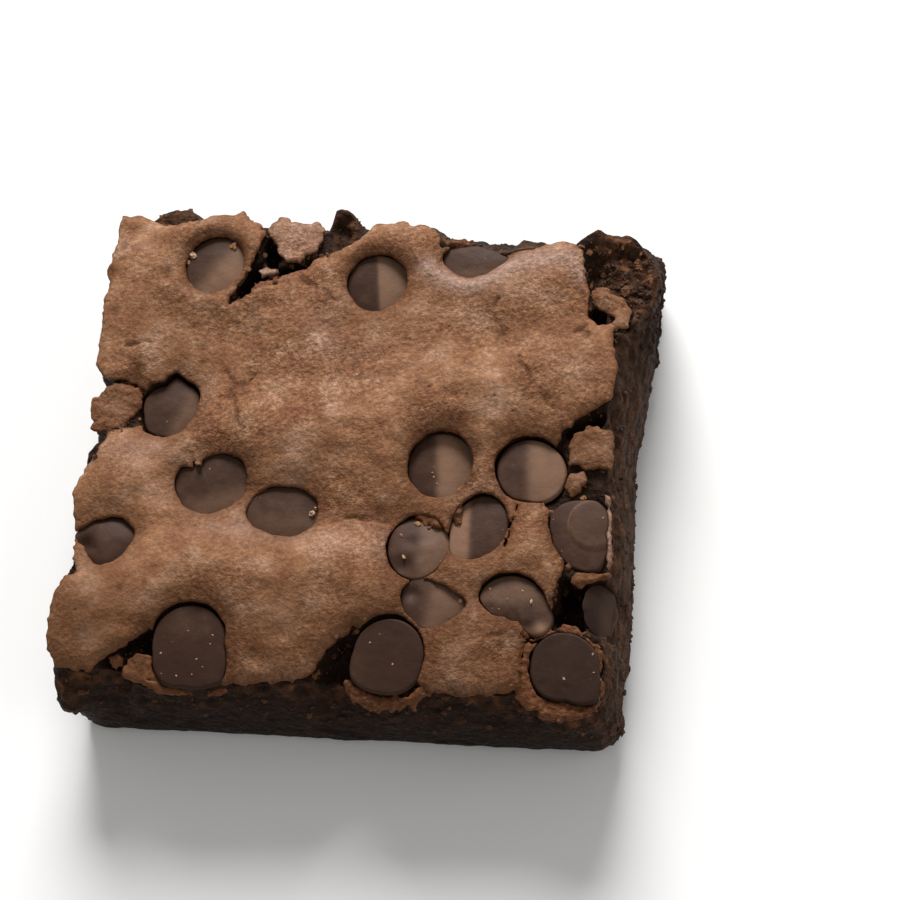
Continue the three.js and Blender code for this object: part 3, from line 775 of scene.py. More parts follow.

# broken sheets: outline; lift above or below the unbroken crust; tilt, the rise for each millimetre along x
# and y; the paleness, how glossy it is with a pinkish highlight painted on to match, and brown, how toasted
# it is; rough, how much crumb sticks on it; whole, for a sheet that lies over a chip instead of round it
brokenSheets = {
    "island": {
        "outline": [
            (-14.2, 32.3), (-12.7, 33.3), (-11.4, 32.8), (-9.8, 32.4), (-7.9, 32.9), (-6.9, 32.0),
            (-6.7, 30.4), (-7.2, 28.6), (-8.9, 27.7), (-9.6, 26.8), (-11.2, 26.5), (-12.4, 27.9),
            (-13.2, 29.6), (-14.0, 30.4),
        ],
        "lift": -0.1, "tilt": (0.03, -0.05), "sheetGlossAndPaintedHighlight": 0.35,
    },
    "crackFlake": {
        "outline": [
            (-14.7, 25.2), (-13.9, 25.7), (-12.4, 25.9), (-11.9, 25.2), (-12.8, 24.4), (-14.2, 24.2),
        ],
        "lift": -0.3, "tilt": (0.1, -0.1), "sheetGlossAndPaintedHighlight": 0.9,
    },
    "leftLobe": {
        "outline": [
            (-33.6, 8.6), (-35.0, 6.6), (-35.6, 3.8), (-34.4, 2.6), (-32.4, 2.4), (-30.6, 3.2),
            (-28.9, 4.2), (-28.6, 6.4), (-29.2, 8.2), (-31.6, 8.9),
        ],
        "lift": -0.75, "tilt": (0.05, 0.04), "rough": 0.5, "brown": 0.3,
    },
    "rightPatch": {
        "outline": [
            (28.4, 2.6), (29.4, 4.4), (30.8, 5.2), (32.2, 5.2), (33.8, 4.6), (34.1, 2.2), (34.2, -0.4),
            (30.9, -0.4), (28.9, 0.2),
        ],
        "lift": -0.35, "tilt": (-0.03, 0.0), "brown": 0.9,
    },
    "rightScrap": {
        "outline": [(28.9, -1.0), (30.7, -0.8), (31.0, -2.0), (30.4, -3.4), (29.3, -3.9), (28.7, -2.8)],
        "lift": -0.7, "tilt": (0.06, 0.0), "rough": 0.3, "brown": 0.6,
    },
    "paleStrip": {
        "outline": [
            (33.7, -3.8), (34.3, -3.7), (34.6, -6.0), (34.9, -9.5), (35.1, -13.9), (34.6, -13.9),
            (34.4, -9.6), (34.1, -7.3), (33.3, -7.2), (33.2, -6.8), (34.0, -6.4),
        ],
        "lift": -0.35, "tilt": (-0.1, 0.0), "sheetGlossAndPaintedHighlight": 0.9,
    },
    "bridge": {
        "outline": [
            (30.3, -15.5), (31.0, -14.2), (32.4, -14.3), (34.8, -13.4), (35.6, -13.7), (35.4, -14.4),
            (33.4, -14.8), (31.7, -15.6),
        ],
        "lift": -0.6, "tilt": (0.0, 0.1), "rough": 0.4,
    },
    "cornerRing": {
        "outline": [
            (24.9, -25.0), (26.0, -22.9), (28.4, -21.6), (31.0, -21.2), (33.2, -22.2), (34.6, -23.6),
            (35.3, -28.6), (35.0, -31.8), (33.4, -32.9), (31.0, -33.4), (28.4, -33.3), (26.6, -32.2),
            (25.1, -30.8), (24.7, -28.2),
        ],
        "lift": -0.5, "tilt": (-0.02, 0.06), "rough": 0.8,
    },
    "frontScrap": {
        "outline": [
            (-25.7, -29.6), (-24.3, -28.3), (-21.2, -28.1), (-21.0, -31.6), (-24.2, -31.8), (-25.8, -30.8),
        ],
        "lift": -0.7, "tilt": (0.0, 0.15), "rough": 0.3,
    },
    "frontCrumbSheet": {
        "outline": [(-28.3, -28.2), (-26.2, -27.6), (-25.4, -28.3), (-25.8, -29.6), (-27.4, -30.0)],
        "lift": -1.0, "tilt": (0.0, 0.1), "rough": 0.6,
    },
    "curledTongue": {
        "outline": [
            (29.3, 23.4), (30.2, 24.3), (31.8, 24.2), (33.6, 23.2), (35.0, 21.7), (34.7, 19.6),
            (33.8, 18.7), (32.6, 19.2), (32.8, 20.2), (32.0, 21.0), (31.0, 21.7), (30.0, 22.4),
        ],
        "lift": -0.75, "tilt": (-0.12, 0.05), "rough": 0.3, "brown": 0.2,
    },
    "overChips": {
        "outline": [
            (9.6, -7.8), (11.0, -6.6), (13.0, -6.2), (15.4, -5.6), (15.9, -7.2), (15.3, -8.3), (14.2, -7.9),
            (13.5, -8.5), (12.6, -9.4), (11.4, -9.0),
        ],
        "lift": -0.25, "tilt": (0.0, 0.0), "rough": 0.9, "whole": True,
    },
    "frontLip": {
        "outline": [
            (3.0, -28.6), (4.2, -30.6), (6.6, -31.6), (9.6, -31.6), (12.2, -30.6), (13.4, -29.0),
            (13.8, -31.0), (12.4, -32.6), (9.4, -33.0), (7.4, -33.6), (5.0, -32.6), (3.0, -31.2),
        ],
        "lift": -0.8, "tilt": (0.0, 0.3), "rough": 0.8, "brown": 0.2,
    },
    "leftLip": {
        "outline": [
            (-22.4, -30.9), (-20.6, -32.0), (-17.4, -32.4), (-14.4, -32.3), (-12.8, -31.4), (-12.2, -32.1),
            (-15.0, -32.9), (-18.6, -32.8), (-21.4, -32.6), (-22.8, -31.6),
        ],
        "lift": -0.9, "tilt": (0.0, 0.35), "rough": 0.8, "brown": 0.2,
    },
    "behindChip": {
        "outline": [(9.4, 30.2), (10.6, 30.8), (12.0, 30.9), (13.4, 30.5), (13.2, 29.9), (11.0, 29.8)],
        "lift": -0.6, "tilt": (0.0, 0.0), "rough": 0.4, "whole": True,
    },
}

# painted highlight on the glossier skin, and where it is browner: x, y, reach across and along, and how much
paintedHighlightPatches = [
    (-28, -1, 4.5, 2.0, 0.5), (-13, -10.5, 6, 1.6, 0.45), (-5, 18, 2.5, 3.5, 0.4), (3, -11, 5, 2.0, 0.35),
    (-2, 14, 5, 1.4, 0.2),
]
brownPatches = [(-29, 15, 6, 7, 0.3), (30, 13, 5, 6, 0.35), (26, -10, 4, 4, 0.3), (-32, -22, 5, 4, 0.25)]

# the painted pinkish highlight along the lifted edge at the back, where the skin is glossier
paintedHighlightLine = [(8, 26.2), (11, 24.6), (14, 23.9), (17, 25.4), (20, 27.4), (24, 28.4), (27, 28.6), (28, 26.5)]

# cracks right through the skin, each a line of points
hairlines = [
    [(22.6, -5.2), (22.3, -7.2), (21.8, -8.3), (22.0, -9.5), (21.6, -10.6), (21.5, -12.3)],
    [(24.4, -21.9), (26.0, -22.9), (28.0, -22.0)],
]


# how far inside the sheet a place is: from its outline, the chips' holes and the cracks, strayed by lumps
def sheetInside(outline, x, y, whole=False, broken=0.0):
    stray = lumps(x / 1.3, y / 1.3, 6.0, 71) + 0.8 * lumps(x / 0.55, y / 0.55, 2.0, 72)
    stray = crust["ragged"] * (1 + broken) * stray
    inside = insideOutline(outline, x, y) + stray
    for path in hairlines:
        inside = np.minimum(inside, toPath(path, x, y) - 0.12 + 0.1 * lumps(x / 0.8, y / 0.8, 1, 77))
    if not whole:
        for chip in chips.values():
            inside = np.minimum(inside, fromChip(chip, x, y) + 0.35 * stray)
    return inside


# keeps the cells of each joined patch that has enough of them: labels spread to neighbours until they settle
def withoutScraps(chosen, fewest):
    label = np.where(chosen, np.arange(chosen.size).reshape(chosen.shape), -1)
    while True:
        spread = label
        for axis in (0, 1):
            for way in (1, -1):
                spread = np.where(chosen, np.maximum(spread, np.roll(spread, way, axis)), -1)
        # jump to the label's own label
        spread = np.where(chosen, np.maximum(spread, spread.ravel()[spread]), -1)
        if np.array_equal(spread, label):
            break
        label = spread
    values, counts = np.unique(label[chosen], return_counts=True)
    return chosen & np.isin(label, values[counts >= fewest])


# a thin shell over the places inside an outline: chosen cells of a grid, their edge drawn onto the outline
# by Newton's step p - m * grad m / |grad m| squared, then a top, an underside and a rim
def makeSheet(outline, inside, height, step, fewest):
    low, high = np.min(outline, axis=0) - 3 * step, np.max(outline, axis=0) + 3 * step
    gx, gy = np.meshgrid(*(np.arange(low[n], high[n] + 2 * step, step) for n in (0, 1)))
    chosen = inside(gx[:-1, :-1] + step / 2, gy[:-1, :-1] + step / 2) > 0
    chosen[0, :] = chosen[-1, :] = chosen[:, 0] = chosen[:, -1] = False
    chosen = withoutScraps(chosen, fewest)
    padded = np.pad(chosen, 1)
    around = padded[:-1, :-1].astype(int) + padded[1:, :-1] + padded[:-1, 1:] + padded[1:, 1:]
    onEdge = (around > 0) & (around < 4)
    px, py = gx.copy(), gy.copy()
    ex, ey = gx[onEdge], gy[onEdge]
    farthest, h = crust["snap"] * step, crust["probe"]
    for _ in range(3):
        m = inside(ex, ey)
        mx = (inside(ex + h, ey) - inside(ex - h, ey)) / (2 * h)
        my = (inside(ex, ey + h) - inside(ex, ey - h)) / (2 * h)
        scale = m / np.maximum(mx * mx + my * my, 0.25)
        ex = np.clip(ex - scale * mx, gx[onEdge] - farthest, gx[onEdge] + farthest)
        ey = np.clip(ey - scale * my, gy[onEdge] - farthest, gy[onEdge] + farthest)
    px[onEdge], py[onEdge] = ex, ey
    used = around > 0
    number = np.full(gx.shape, -1)
    number[used] = np.arange(used.sum())
    x, y, edge = px[used], py[used], onEdge[used]
    depth = np.maximum(0, inside(x, y))
    z = height(x, y) - 0.1 * edge
    thinnest, thickest = crust["rimThickness"], crust["thickness"]
    thick = np.where(edge, thinnest, mix(thinnest, thickest, ramp(0, 0.8, depth)))
    top, under = np.stack([x, y, z], -1), np.stack([x, y, z - thick], -1)
    a, b = number[:-1, :-1][chosen], number[:-1, 1:][chosen]
    c, d = number[1:, 1:][chosen], number[1:, :-1][chosen]
    count = len(x)
    rims = []
    cellSides = {(-1, 0): (a, b), (0, 1): (b, c), (1, 0): (c, d), (0, -1): (d, a)}
    for (down, across), (p, q) in cellSides.items():
        bare = ~np.roll(chosen, (-down, -across), (0, 1))[chosen]
        rims.append(np.stack([p[bare], p[bare] + count, q[bare] + count, q[bare]], -1))
    torn = 1 - ramp(0.0, 0.32, depth + 0.22 * lumps(x / 0.7, y / 0.7, 4, 81))
    faces = [np.stack([a, b, c, d], -1), np.stack([d, c, b, a], -1) + count] + rims
    return np.concatenate([top, under]), faces, np.concatenate([torn, np.ones(count)])


# how coarse the skin's grain is, from 0 to 1: patchy, and finer towards the front and the left
def grainAt(x, y):
    patchy = 0.75 + 0.3 * ramp(-0.5, 0.5, lumps(x / 6, y / 6, 9, 94))
    fromFront = mix(mix(0.68, 0.85, ramp(0, 8, x)), 0.8, ramp(-17, -3, y))
    return patchy * fromFront * mix(0.85, 1.0, ramp(-30, -18, x))


# the skin's own relief: short wrinkles, a little longer on the slant than across it, and grooves
def skinRelief(x, y):
    a = math.radians(crust["reliefWay"])
    u, v = x * math.cos(a) + y * math.sin(a), y * math.cos(a) - x * math.sin(a)
    u, v = u + 0.5 * lumps(x / 1.8, y / 1.8, 1, 90), v + 0.5 * lumps(x / 1.8, y / 1.8, 2, 90)
    wrinkles = lumps(u / 1.7, v / 1.4, 2, 91) + 0.7 * lumps(u / 0.9, v / 0.8, 5, 92)
    wrinkles = wrinkles + 0.55 * lumps(u / 0.58, v / 0.55, 7, 93)
    return crust["wrinkle"] * wrinkles * grainAt(x, y) - 0.3 * grooveDepth(x, y)


# clumps of crumb stuck on a rough scrap of crust: large clods with small ones on them
def stuckCrumb(x, y):
    large, small = 0.55 - clods(x / 1.1, y / 1.1, 3.3, 95), 0.5 - clods(x / 0.55, y / 0.55, 5.1, 96)
    return 0.5 * large + 0.3 * small


# a soft patch: its amount in the middle, falling as a bell curve over its reach
def patchAt(patch, x, y):
    px, py, across, along, amount = patch
    return amount * bump(np.hypot((x - px) / across, (y - py) / along), 1)


# the main sheet is one piece and the broken sheets another, on a finer grid
def makeCrust(name, sheets, step, material):
    parts = []
    offset, faces = 0, []
    for sheet in sheets:
        outline = asSeen(sheet["outline"])
        middle = np.mean(outline, axis=0)
        crumbly = sheet.get("rough", 0)
        tilt = sheet.get("tilt", (0, 0))

        def inside(x, y):
            return sheetInside(outline, x, y, sheet.get("whole", False), crumbly)

        def height(x, y):
            fromEdge = np.maximum(insideOutline(outline, x, y), 0)
            z = crustHeight(x, y) + skinRelief(x, y) + crumbly * stuckCrumb(x, y)
            if "lift" not in sheet:
                return z - 0.45 * bump(fromEdge, 0.8)
            z = z + sheet["lift"] + tilt[0] * (x - middle[0]) + tilt[1] * (y - middle[1])
            return z - 0.2 * bump(fromEdge, 0.5)

        fewest = crust["fewestBroken" if "lift" in sheet else "fewestCells"]
        points, blocks, torn = makeSheet(outline, inside, height, step, fewest)
        faces += [block + offset for block in blocks]
        offset += len(points)
        same = np.ones(len(points))
        torn = np.maximum(torn, min(1, crumbly * 1.5))
        parts.append((points, torn, sheet.get("sheetGlossAndPaintedHighlight", 0.0) * same, sheet.get("brown", 0.0) * same))
    points, torn, sheetGlossAndPaintedHighlight, brown = (np.concatenate(column) for column in zip(*parts))
    x, y = points[:, 0], points[:, 1]
    # painted highlight: a pinkish sheen for the colour, on skin that is made glossier there too
    glossAndPaintedHighlight = sheetGlossAndPaintedHighlight + 0.9 * bump(toPath(paintedHighlightLine, x, y), 1.5)
    mottled = 0.7 + 0.5 * lumps(x / 1.5, y / 1.5, 3, 97)
    for patch in paintedHighlightPatches:
        glossAndPaintedHighlight = glossAndPaintedHighlight + patchAt(patch, x, y) * mottled
    toastAndPaintedShade = brown
    for patch in brownPatches:
        toastAndPaintedShade = toastAndPaintedShade + patchAt(patch, x, y)
    # painted shade: darker just round each chip's hole
    for chip in chips.values():
        toastAndPaintedShade = np.maximum(toastAndPaintedShade, bump(np.maximum(0, fromChip(chip, x, y)), 1.6))
    for bx, by, width in blisters:
        toastAndPaintedShade = np.maximum(toastAndPaintedShade, 1.2 * bump(np.hypot(x - bx, y - by), width))
    # painted shade in the grooves, and browner towards the front
    toastAndPaintedShade = np.maximum(toastAndPaintedShade, 1.4 * grooveDepth(x, y)) + 0.8 * ramp(13.5, 23, -y)
    attributes = {"torn": torn, "glossAndPaintedHighlight": glossAndPaintedHighlight, "toastAndPaintedShade": toastAndPaintedShade, "grainy": grainAt(x, y)}
    return makePiece(name, points, faces, material, attributes)


# Chips: baked-in drops, each with its own lean, and a highlight painted into its colour

chipShape = {
    "around": 84,
    "overRings": 21,
    "rimRings": 6,
    "rimStart": 0.93,  # how far out the rim's round begins
    "rimRound": 0.7,
}


# height of a chip's top above its level, x and y from its middle: a dome that leans (r is 1 at its rim), less
# a part that slopes away behind a soft ridge, less dents, plus a step round a disc, and slight lumps
def chipTop(chip, x, y, r):
    z = -chip["dome"] * r ** 2 + chip["lean"][0] * x + chip["lean"][1] * y
    if "slope" in chip:
        width = chip["shade"][2]
        soft = max(width, 0.3)
        z = z - chip["slope"] * soft * np.logaddexp(0, shadeAcross(chip, x, y) * width / soft)
    for dx, dy, width, depth in chip["dents"]:
        z = z - depth * bump(np.hypot(x - dx, y - dy), width)
    if "disc" in chip:
        cx, cy, radius = chip["disc"]
        z = z + 0.3 * (1 - ramp(-0.2, 0.15, np.hypot(x - cx, y - cy) - radius))
    if "paintedHighlightKnob" in chip:
        bx, by, width, _ = chip["paintedHighlightKnob"]
        z = z + 0.4 * bump(np.hypot(x - bx, y - by), width)
    px, py = chip["middle"]
    return z + 0.05 * lumps(x / 2.2 + px, y / 2.2, 3) + 0.02 * lumps(x / 0.8 + px, y / 0.8, 5)


# how far a place lies past the edge of a chip's lighter part, in widths of that edge
def shadeAcross(chip, x, y):
    way, edge, soft, _ = chip["shade"]
    return (x * math.cos(math.radians(way)) + y * math.sin(math.radians(way)) - edge) / soft


# a chip's rim all round, with what runs on under the crust, for the given directions
def chipRim(chip, direction):
    return np.interp(direction, fullTurn, chip["rim"]) + chip["grow"]


# a profile carried round the chip: r runs 0 to 1 over the top, then down the rim and in under it
def makeChip(name, chip, material):
    over = np.linspace(0, 1, chipShape["overRings"]) ** 0.85  # closer together near the rim
    quarter = np.linspace(0, 1, chipShape["rimRings"] + 1)[1:] * math.pi / 2
    start, rimRound = chipShape["rimStart"], chipShape["rimRound"]
    r = np.concatenate([over * start, start + (1 - start) * np.sin(quarter), [0.97, 0.8, 0.45, 0.0]])
    foot = mix(rimRound, chip["depth"], np.array([0.2, 0.6, 0.88, 1.0]))
    drop = np.concatenate([0 * over, rimRound * (1 - np.cos(quarter)), foot])[1:-1, None]
    around = chipShape["around"]
    angle = np.linspace(-math.pi, math.pi, around, endpoint=False)
    rim = chipRim(chip, angle)
    inner = r[1:-1, None]
    x, y = inner * (rim * np.cos(angle))[None, :], inner * (rim * np.sin(angle))[None, :]
    px, py = chip["middle"] + np.array(chip["shift"])
    fade = 1 - ramp(0.0, 1.5, drop)
    z = chip["level"] + chipTop(chip, x, y, np.minimum(inner, 1)) * fade - chip["dome"] * (1 - fade) - drop
    tip = [[px, py, chip["level"] + float(chipTop(chip, 0.0, 0.0, 0.0))]]
    end = [[px, py, chip["level"] - chip["dome"] - chip["depth"]]]
    points = np.concatenate([tip, np.stack([x + px, y + py, z], -1).reshape(-1, 3), end])
    cx, cy = points[:, 0] - px, points[:, 1] - py
    # painted highlight: the lighter part of the top and the pale knob, with a darker part where its amount is
    # below 0
    chipPaintedHighlight = 0 * cx
    if "shade" in chip:
        chipPaintedHighlight = chip["shade"][3] / (1 + np.exp(-2.2 * shadeAcross(chip, cx, cy)))
    if "paintedHighlightKnob" in chip:
        bx, by, width, amount = chip["paintedHighlightKnob"]
        chipPaintedHighlight = chipPaintedHighlight + amount * bump(np.hypot(cx - bx, cy - by), width * 0.9)
    if "disc" in chip:
        dx, dy, radius = chip["disc"]
        past = np.hypot(cx - dx, cy - dy) - radius
        chipPaintedHighlight = chipPaintedHighlight + 0.5 * bump(past, 0.13) + 0.1 * (past < 0)
    faces = ballFaces(len(r) - 2, around)
    piece = makePiece(name + "_finished", points, faces, material, {"chipPaintedHighlight": chipPaintedHighlight})
    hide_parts(name)
    return piece


# Loose bits: crumbs along the torn edges, in the hollows, on the sides and on the chips

# A size in millimetres is given by the least, how much more the largest has, and a power, which makes large
# ones rare. A tone is given in the same way, from 0 for dark crumb to 1 for pale crust.
bits = {
    "seed": 11,
    "faces": (5, 8),  # rings and sectors of each bit
    "knobs": (0.5, 1.35),  # how far in and out its lumps go
    "squash": ((0.7, 1.25), (0.7, 1.25), (0.45, 0.8)),  # along x, y and z
    "alongEdges": 900,
    "edgeSize": (0.12, 0.34, 2.4),
    "edgeTone": (0.15, 0.4),
    "inHollows": 150,
    "hollowSize": (0.15, 0.4, 2),
    "hollowTone": (0, 0.4, 2),
    "atCorner": 240,
    "cornerSize": (0.14, 0.46, 2.5),
    "cornerTone": (0.08, 0.42, 1.5),
    "onSides": 950,
    "sideShares": (0.4, 0.3, 0.2, 0.1),  # right, front, back and left
    "sideSize": (0.12, 0.36, 2.6),
    "sideTone": (0, 0.36, 1.6),
    "onChips": 60,
    "chipSize": (0.05, 0.07),
    "chipTone": (0.3, 0.6),
    "speckSize": (0.09, 0.08),
    "speckTone": 0.85,
}

# bits that stand out: x, y, width, and tone from 0 for crumb to 1 for pale crust
largeBits = [
    (-24.3, 27.7, 0.75, 0.9), (-24.8, 26.6, 0.35, 0.8), (-19.0, 29.2, 0.55, 0.75), (-18.7, 28.8, 0.4, 0.7),
    (-3.7, -8.0, 0.6, 0.9), (-3.3, -7.3, 0.4, 0.8), (-19.3, -1.9, 0.6, 0.55), (-28.4, 5.4, 0.45, 0.8),
    (15.0, -3.6, 0.6, 0.75), (14.6, -4.2, 0.35, 0.7), (10.2, -8.8, 0.5, 0.75), (8.3, -10.4, 0.35, 0.8),
    (8.9, -13.1, 0.4, 0.85), (16.7, -18.4, 0.4, 0.85), (25.6, -18.2, 0.35, 0.95), (30.9, -4.0, 0.45, 0.6),
    (29.9, -4.5, 0.4, 0.5), (0.3, 11.0, 0.22, 1.0), (11.7, 30.6, 0.35, 0.5),
]
# pale specks on the chips: x, y
chipSpecks = [
    (-17.7, -24.4), (-14.5, -24.8), (-21.0, -27.6), (-16.2, -28.2), (-20.6, -30.4), (-18.6, -30.6),
    (-16.6, -30.3), (-15.3, -29.2), (-14.7, -26.0), (11.3, -1.6), (11.5, -2.2), (12.0, -3.0), (30.6, -28.1),
    (22.6, -18.0), (26.0, -28.4), (26.2, -27.0), (9.0, -27.4), (5.8, -24.6), (20.2, -16.6), (24.4, -16.8),
    (33.9, -24.6), (34.2, -27.0),
]


# lumpy little balls: a sphere's rings, pushed in and out by seeded lumps, squashed, turned and put in place
def crumbBalls(chance, place, size):
    rings, sectors = bits["faces"]
    polar = np.linspace(0, math.pi, rings + 1)[1:-1, None]
    turn = np.linspace(0, 2 * math.pi, sectors, endpoint=False)[None, :]
    ball = [np.sin(polar) * np.cos(turn), np.sin(polar) * np.sin(turn), np.cos(polar) + 0 * turn]
    ball = np.concatenate([[[0, 0, 1]], np.stack(ball, -1).reshape(-1, 3), [[0, 0, -1]]])
    n, each = len(place), len(ball)
    knobs = chance.uniform(*bits["knobs"], (n, each))
    squash = np.stack([chance.uniform(low, high, n) for low, high in bits["squash"]], -1)
    shaped = ball[None] * knobs[:, :, None] * squash[:, None, :] * size[:, None, None]
    spin = chance.uniform(0, 2 * math.pi, n)[:, None]
    u, v, rise = shaped[:, :, 0], shaped[:, :, 1], shaped[:, :, 2]
    turned = np.stack([u * np.cos(spin) - v * np.sin(spin), u * np.sin(spin) + v * np.cos(spin), rise], -1)
    start = (np.arange(n) * each)[:, None, None]
    faces = [(block[None] + start).reshape(-1, block.shape[1]) for block in ballFaces(rings - 1, sectors)]
    return (turned + place[:, None, :]).reshape(-1, 3), faces


# all the bits as one piece: where each lies, how large it is and its tone, drawn group by group
def makeBits(material):
    chance = np.random.default_rng(bits["seed"])
    places, sizes, tones = [], [], []

    # the least, and more times a power of numbers drawn evenly from 0 to 1
    def drawn(count, least, more, power=1):
        return least + more * chance.random(count) ** power

    def add(x, y, z, size, tone):
        places.append(np.stack(np.broadcast_arrays(x, y, z), -1).reshape(-1, 3))
        sizes.append(np.ravel(size) * np.ones(len(places[-1])))
        tones.append(np.ravel(tone) * np.ones(len(places[-1])))

    # along the torn edges, on the crumb or a little way onto the sheet
    outlines = [asSeen(mainSheet)] + [asSeen(sheet["outline"]) for sheet in brokenSheets.values()]
    walk = np.concatenate([np.array(outline) for outline in outlines])
    ahead = np.concatenate([np.roll(np.array(outline), -1, axis=0) for outline in outlines])
    lengths = np.hypot(*(ahead - walk).T)
    count = bits["alongEdges"]
    picked = chance.choice(len(walk), count, p=lengths / lengths.sum())
    spots = mix(walk[picked], ahead[picked], chance.random(count)[:, None])
    outward = np.stack([(ahead - walk)[:, 1], -(ahead - walk)[:, 0]], -1)[picked]
    outward = outward / np.maximum(lengths[picked], 0.01)[:, None]
    step = chance.uniform(-0.3, 0.75, count)
    spots = spots + outward * step[:, None]
    size = drawn(count, *bits["edgeSize"])
    over = (step < -0.1) & (picked < len(mainSheet))
    z = np.where(over, crustHeight(*spots.T) - 0.15, crumbTop(*spots.T) + 0.1)

    def onCrumb(x, y):
        across = (x < rightOut(y, 1.0) - 0.5) & (x > 0.5 - leftOut(y, 1.0))
        return across & (y < backOut(x, 1.0) - 0.6) & (y > 0.6 - frontOut(x, 1.0))

    def fromChips(x, y):
        return np.min([fromChip(chip, x, y) for chip in chips.values()], axis=0)

    keep = onCrumb(*spots.T) & (fromChips(*spots.T) > 0.1)
    add(spots[keep, 0], spots[keep, 1], z[keep], size[keep], drawn(keep.sum(), *bits["edgeTone"]))

    # in the hollows where the crust is gone
    spot = np.array([[s["x"], s["y"], s["across"], s["along"], math.radians(s["turn"])] for s in bareSpots])
    area = spot[:, 2] * spot[:, 3]
    x, y, across, along, turn = spot[chance.choice(len(spot), bits["inHollows"], p=area / area.sum())].T
    far, way = np.sqrt(chance.random(len(x))), 2 * math.pi * chance.random(len(x))
    u, v = far * across * np.cos(way), far * along * np.sin(way)
    x, y = x + u * np.cos(turn) - v * np.sin(turn), y + u * np.sin(turn) + v * np.cos(turn)
    keep = onCrumb(x, y)
    x, y = x[keep], y[keep]
    size = drawn(len(x), *bits["hollowSize"])
    add(x, y, crumbTop(x, y) + 0.2 * size, size, drawn(len(x), *bits["hollowTone"]))

    # the broken back right corner is heaped with them
    x, y = chance.uniform(28.4, 39, bits["atCorner"]), chance.uniform(17.5, 35.5, bits["atCorner"])
    keep = onCrumb(x, y) & (insideOutline(outlines[0], x, y) < -0.2) & (reach(bareSpots[0], x, y) < 1.15)
    x, y = x[keep], y[keep]
    size = drawn(len(x), *bits["cornerSize"])
    add(x, y, crumbTop(x, y), size, drawn(len(x), *bits["cornerTone"]))

    # stuck on the four sides, more of them near the top
    count = bits["onSides"]
    side = chance.choice(4, count, p=bits["sideShares"])
    way, w = chance.random(count), chance.random(count) ** 0.6
    s, t = np.choose(side, [1.0, way, way, 0.0]), np.choose(side, [way, 0.0, 1.0, way])
    w = np.where(side == 1, mix(0.5, 1.0, w), w)
    x, y = blockPlace(s, t, w)
    z = w * (crumbTop(*blockPlace(s, t, np.ones(count))) - 0.1)
    size = drawn(count, *bits["sideSize"])
    add(x, y, z, size, 0.05 + drawn(count, *bits["sideTone"]) * (0.4 + 0.6 * w))  # paler near the crust

    # height of what lies on top at a place: chip, main sheet or crumb
    def groundAt(x, y):
        z = np.where(insideOutline(outlines[0], x, y) > 0.1, crustHeight(x, y), crumbTop(x, y))
        for chip in chips.values():
            middle = chip["middle"] + np.array(chip["shift"])
            dx, dy = x - middle[0], y - middle[1]
            r = np.hypot(dx, dy) / chipRim(chip, np.arctan2(dy, dx))
            z = np.where(r < 0.92, chip["level"] + chipTop(chip, dx, dy, r), z)
        return z

    # on the chips: seeded ones, then those that the photo shows
    names = list(chips)
    middles = np.array([chips[names[n]]["middle"] for n in chance.integers(0, len(names), bits["onChips"])])
    x = middles[:, 0] + chance.uniform(-3.6, 3.6, len(middles))
    y = middles[:, 1] + chance.uniform(-3.6, 3.6, len(middles))
    keep = fromChips(x, y) < -0.4
    x, y = x[keep], y[keep]
    add(x, y, groundAt(x, y), drawn(len(x), *bits["chipSize"]), drawn(len(x), *bits["chipTone"]))
    x, y = np.array(asSeen(chipSpecks)).T
    add(x, y, groundAt(x, y), drawn(len(x), *bits["speckSize"]), bits["speckTone"])
    x, y = np.array(asSeen([bit[:2] for bit in largeBits])).T
    width, tone = np.array([bit[2:] for bit in largeBits]).T
    add(x, y, groundAt(x, y) + 0.2 * width, 0.75 * width, tone)

    points, faces = crumbBalls(chance, np.concatenate(places), np.concatenate(sizes))
    tone = np.concatenate(tones)
    attributes = {"tone": np.repeat(tone, len(points) // len(tone))}
    return makePiece("loose_crumbs", points, faces, material, attributes, smooth=False)


# Materials

# noise of a given size in millimetres
def noise(tree, way, size, detail, roughness=0.5):
    inputs = {"Vector": way, "Scale": 1 / (size * millimetre), "Detail": detail, "Roughness": roughness}
    return addNode(tree, "ShaderNodeTexNoise", inputs).outputs["Fac"]


# one of the piece's own attributes
def attribute(tree, name):
    return addNode(tree, "ShaderNodeAttribute", attribute_name=name).outputs["Fac"]


# from one range to another in a straight line, held at its ends
def ranged(tree, value, start, end):
    names = ("From Min", "From Max", "To Min", "To Max")
    return addNode(tree, "ShaderNodeMapRange", {"Value": value, **dict(zip(names, start + end))}).outputs[0]


# value * factor + more
def scaled(tree, value, factor, more=0.0):
    inputs = {0: value, 1: factor, 2: more}
    return addNode(tree, "ShaderNodeMath", inputs, operation="MULTIPLY_ADD").outputs[0]


# colours at places from 0 to 1, blended between them
def coloured(tree, value, *stops):
    stops = [(place, linear(hexCode)) for place, hexCode in stops]
    return addNode(tree, "ShaderNodeValToRGB", {"Fac": value}, stops=stops).outputs["Color"]


# one colour over another by a factor, mixed or multiplied
def layered(tree, factor, under, over, kind="MIX"):
    inputs = {"Factor": factor, 6: under, 7: over}  # 6 and 7 are the mix node's two colours
    return addNode(tree, "ShaderNodeMix", inputs, data_type="RGBA", blend_type=kind).outputs[2]


# a bump that stands distance millimetres high, on top of another where one is given
def raised(tree, height, strength, distance, under=None, invert=False):
    inputs = {"Height": height, "Strength": strength, "Distance": distance * millimetre}
    if under:
        inputs["Normal"] = under
    return addNode(tree, "ShaderNodeBump", inputs, invert=invert).outputs[0]


# the shader, joined to the material's output; index is the light's bending, shine how much is reflected
def close(tree, colour, roughness, bumps=None, index=1.5, shine=0.5):
    inputs = {"Base Color": colour, "Roughness": roughness, "IOR": index, "Specular IOR Level": shine}
    if bumps is not None:
        inputs["Normal"] = bumps
    shader = addNode(tree, "ShaderNodeBsdfPrincipled", inputs)
    addNode(tree, "ShaderNodeOutputMaterial", {"Surface": shader.outputs[0]})
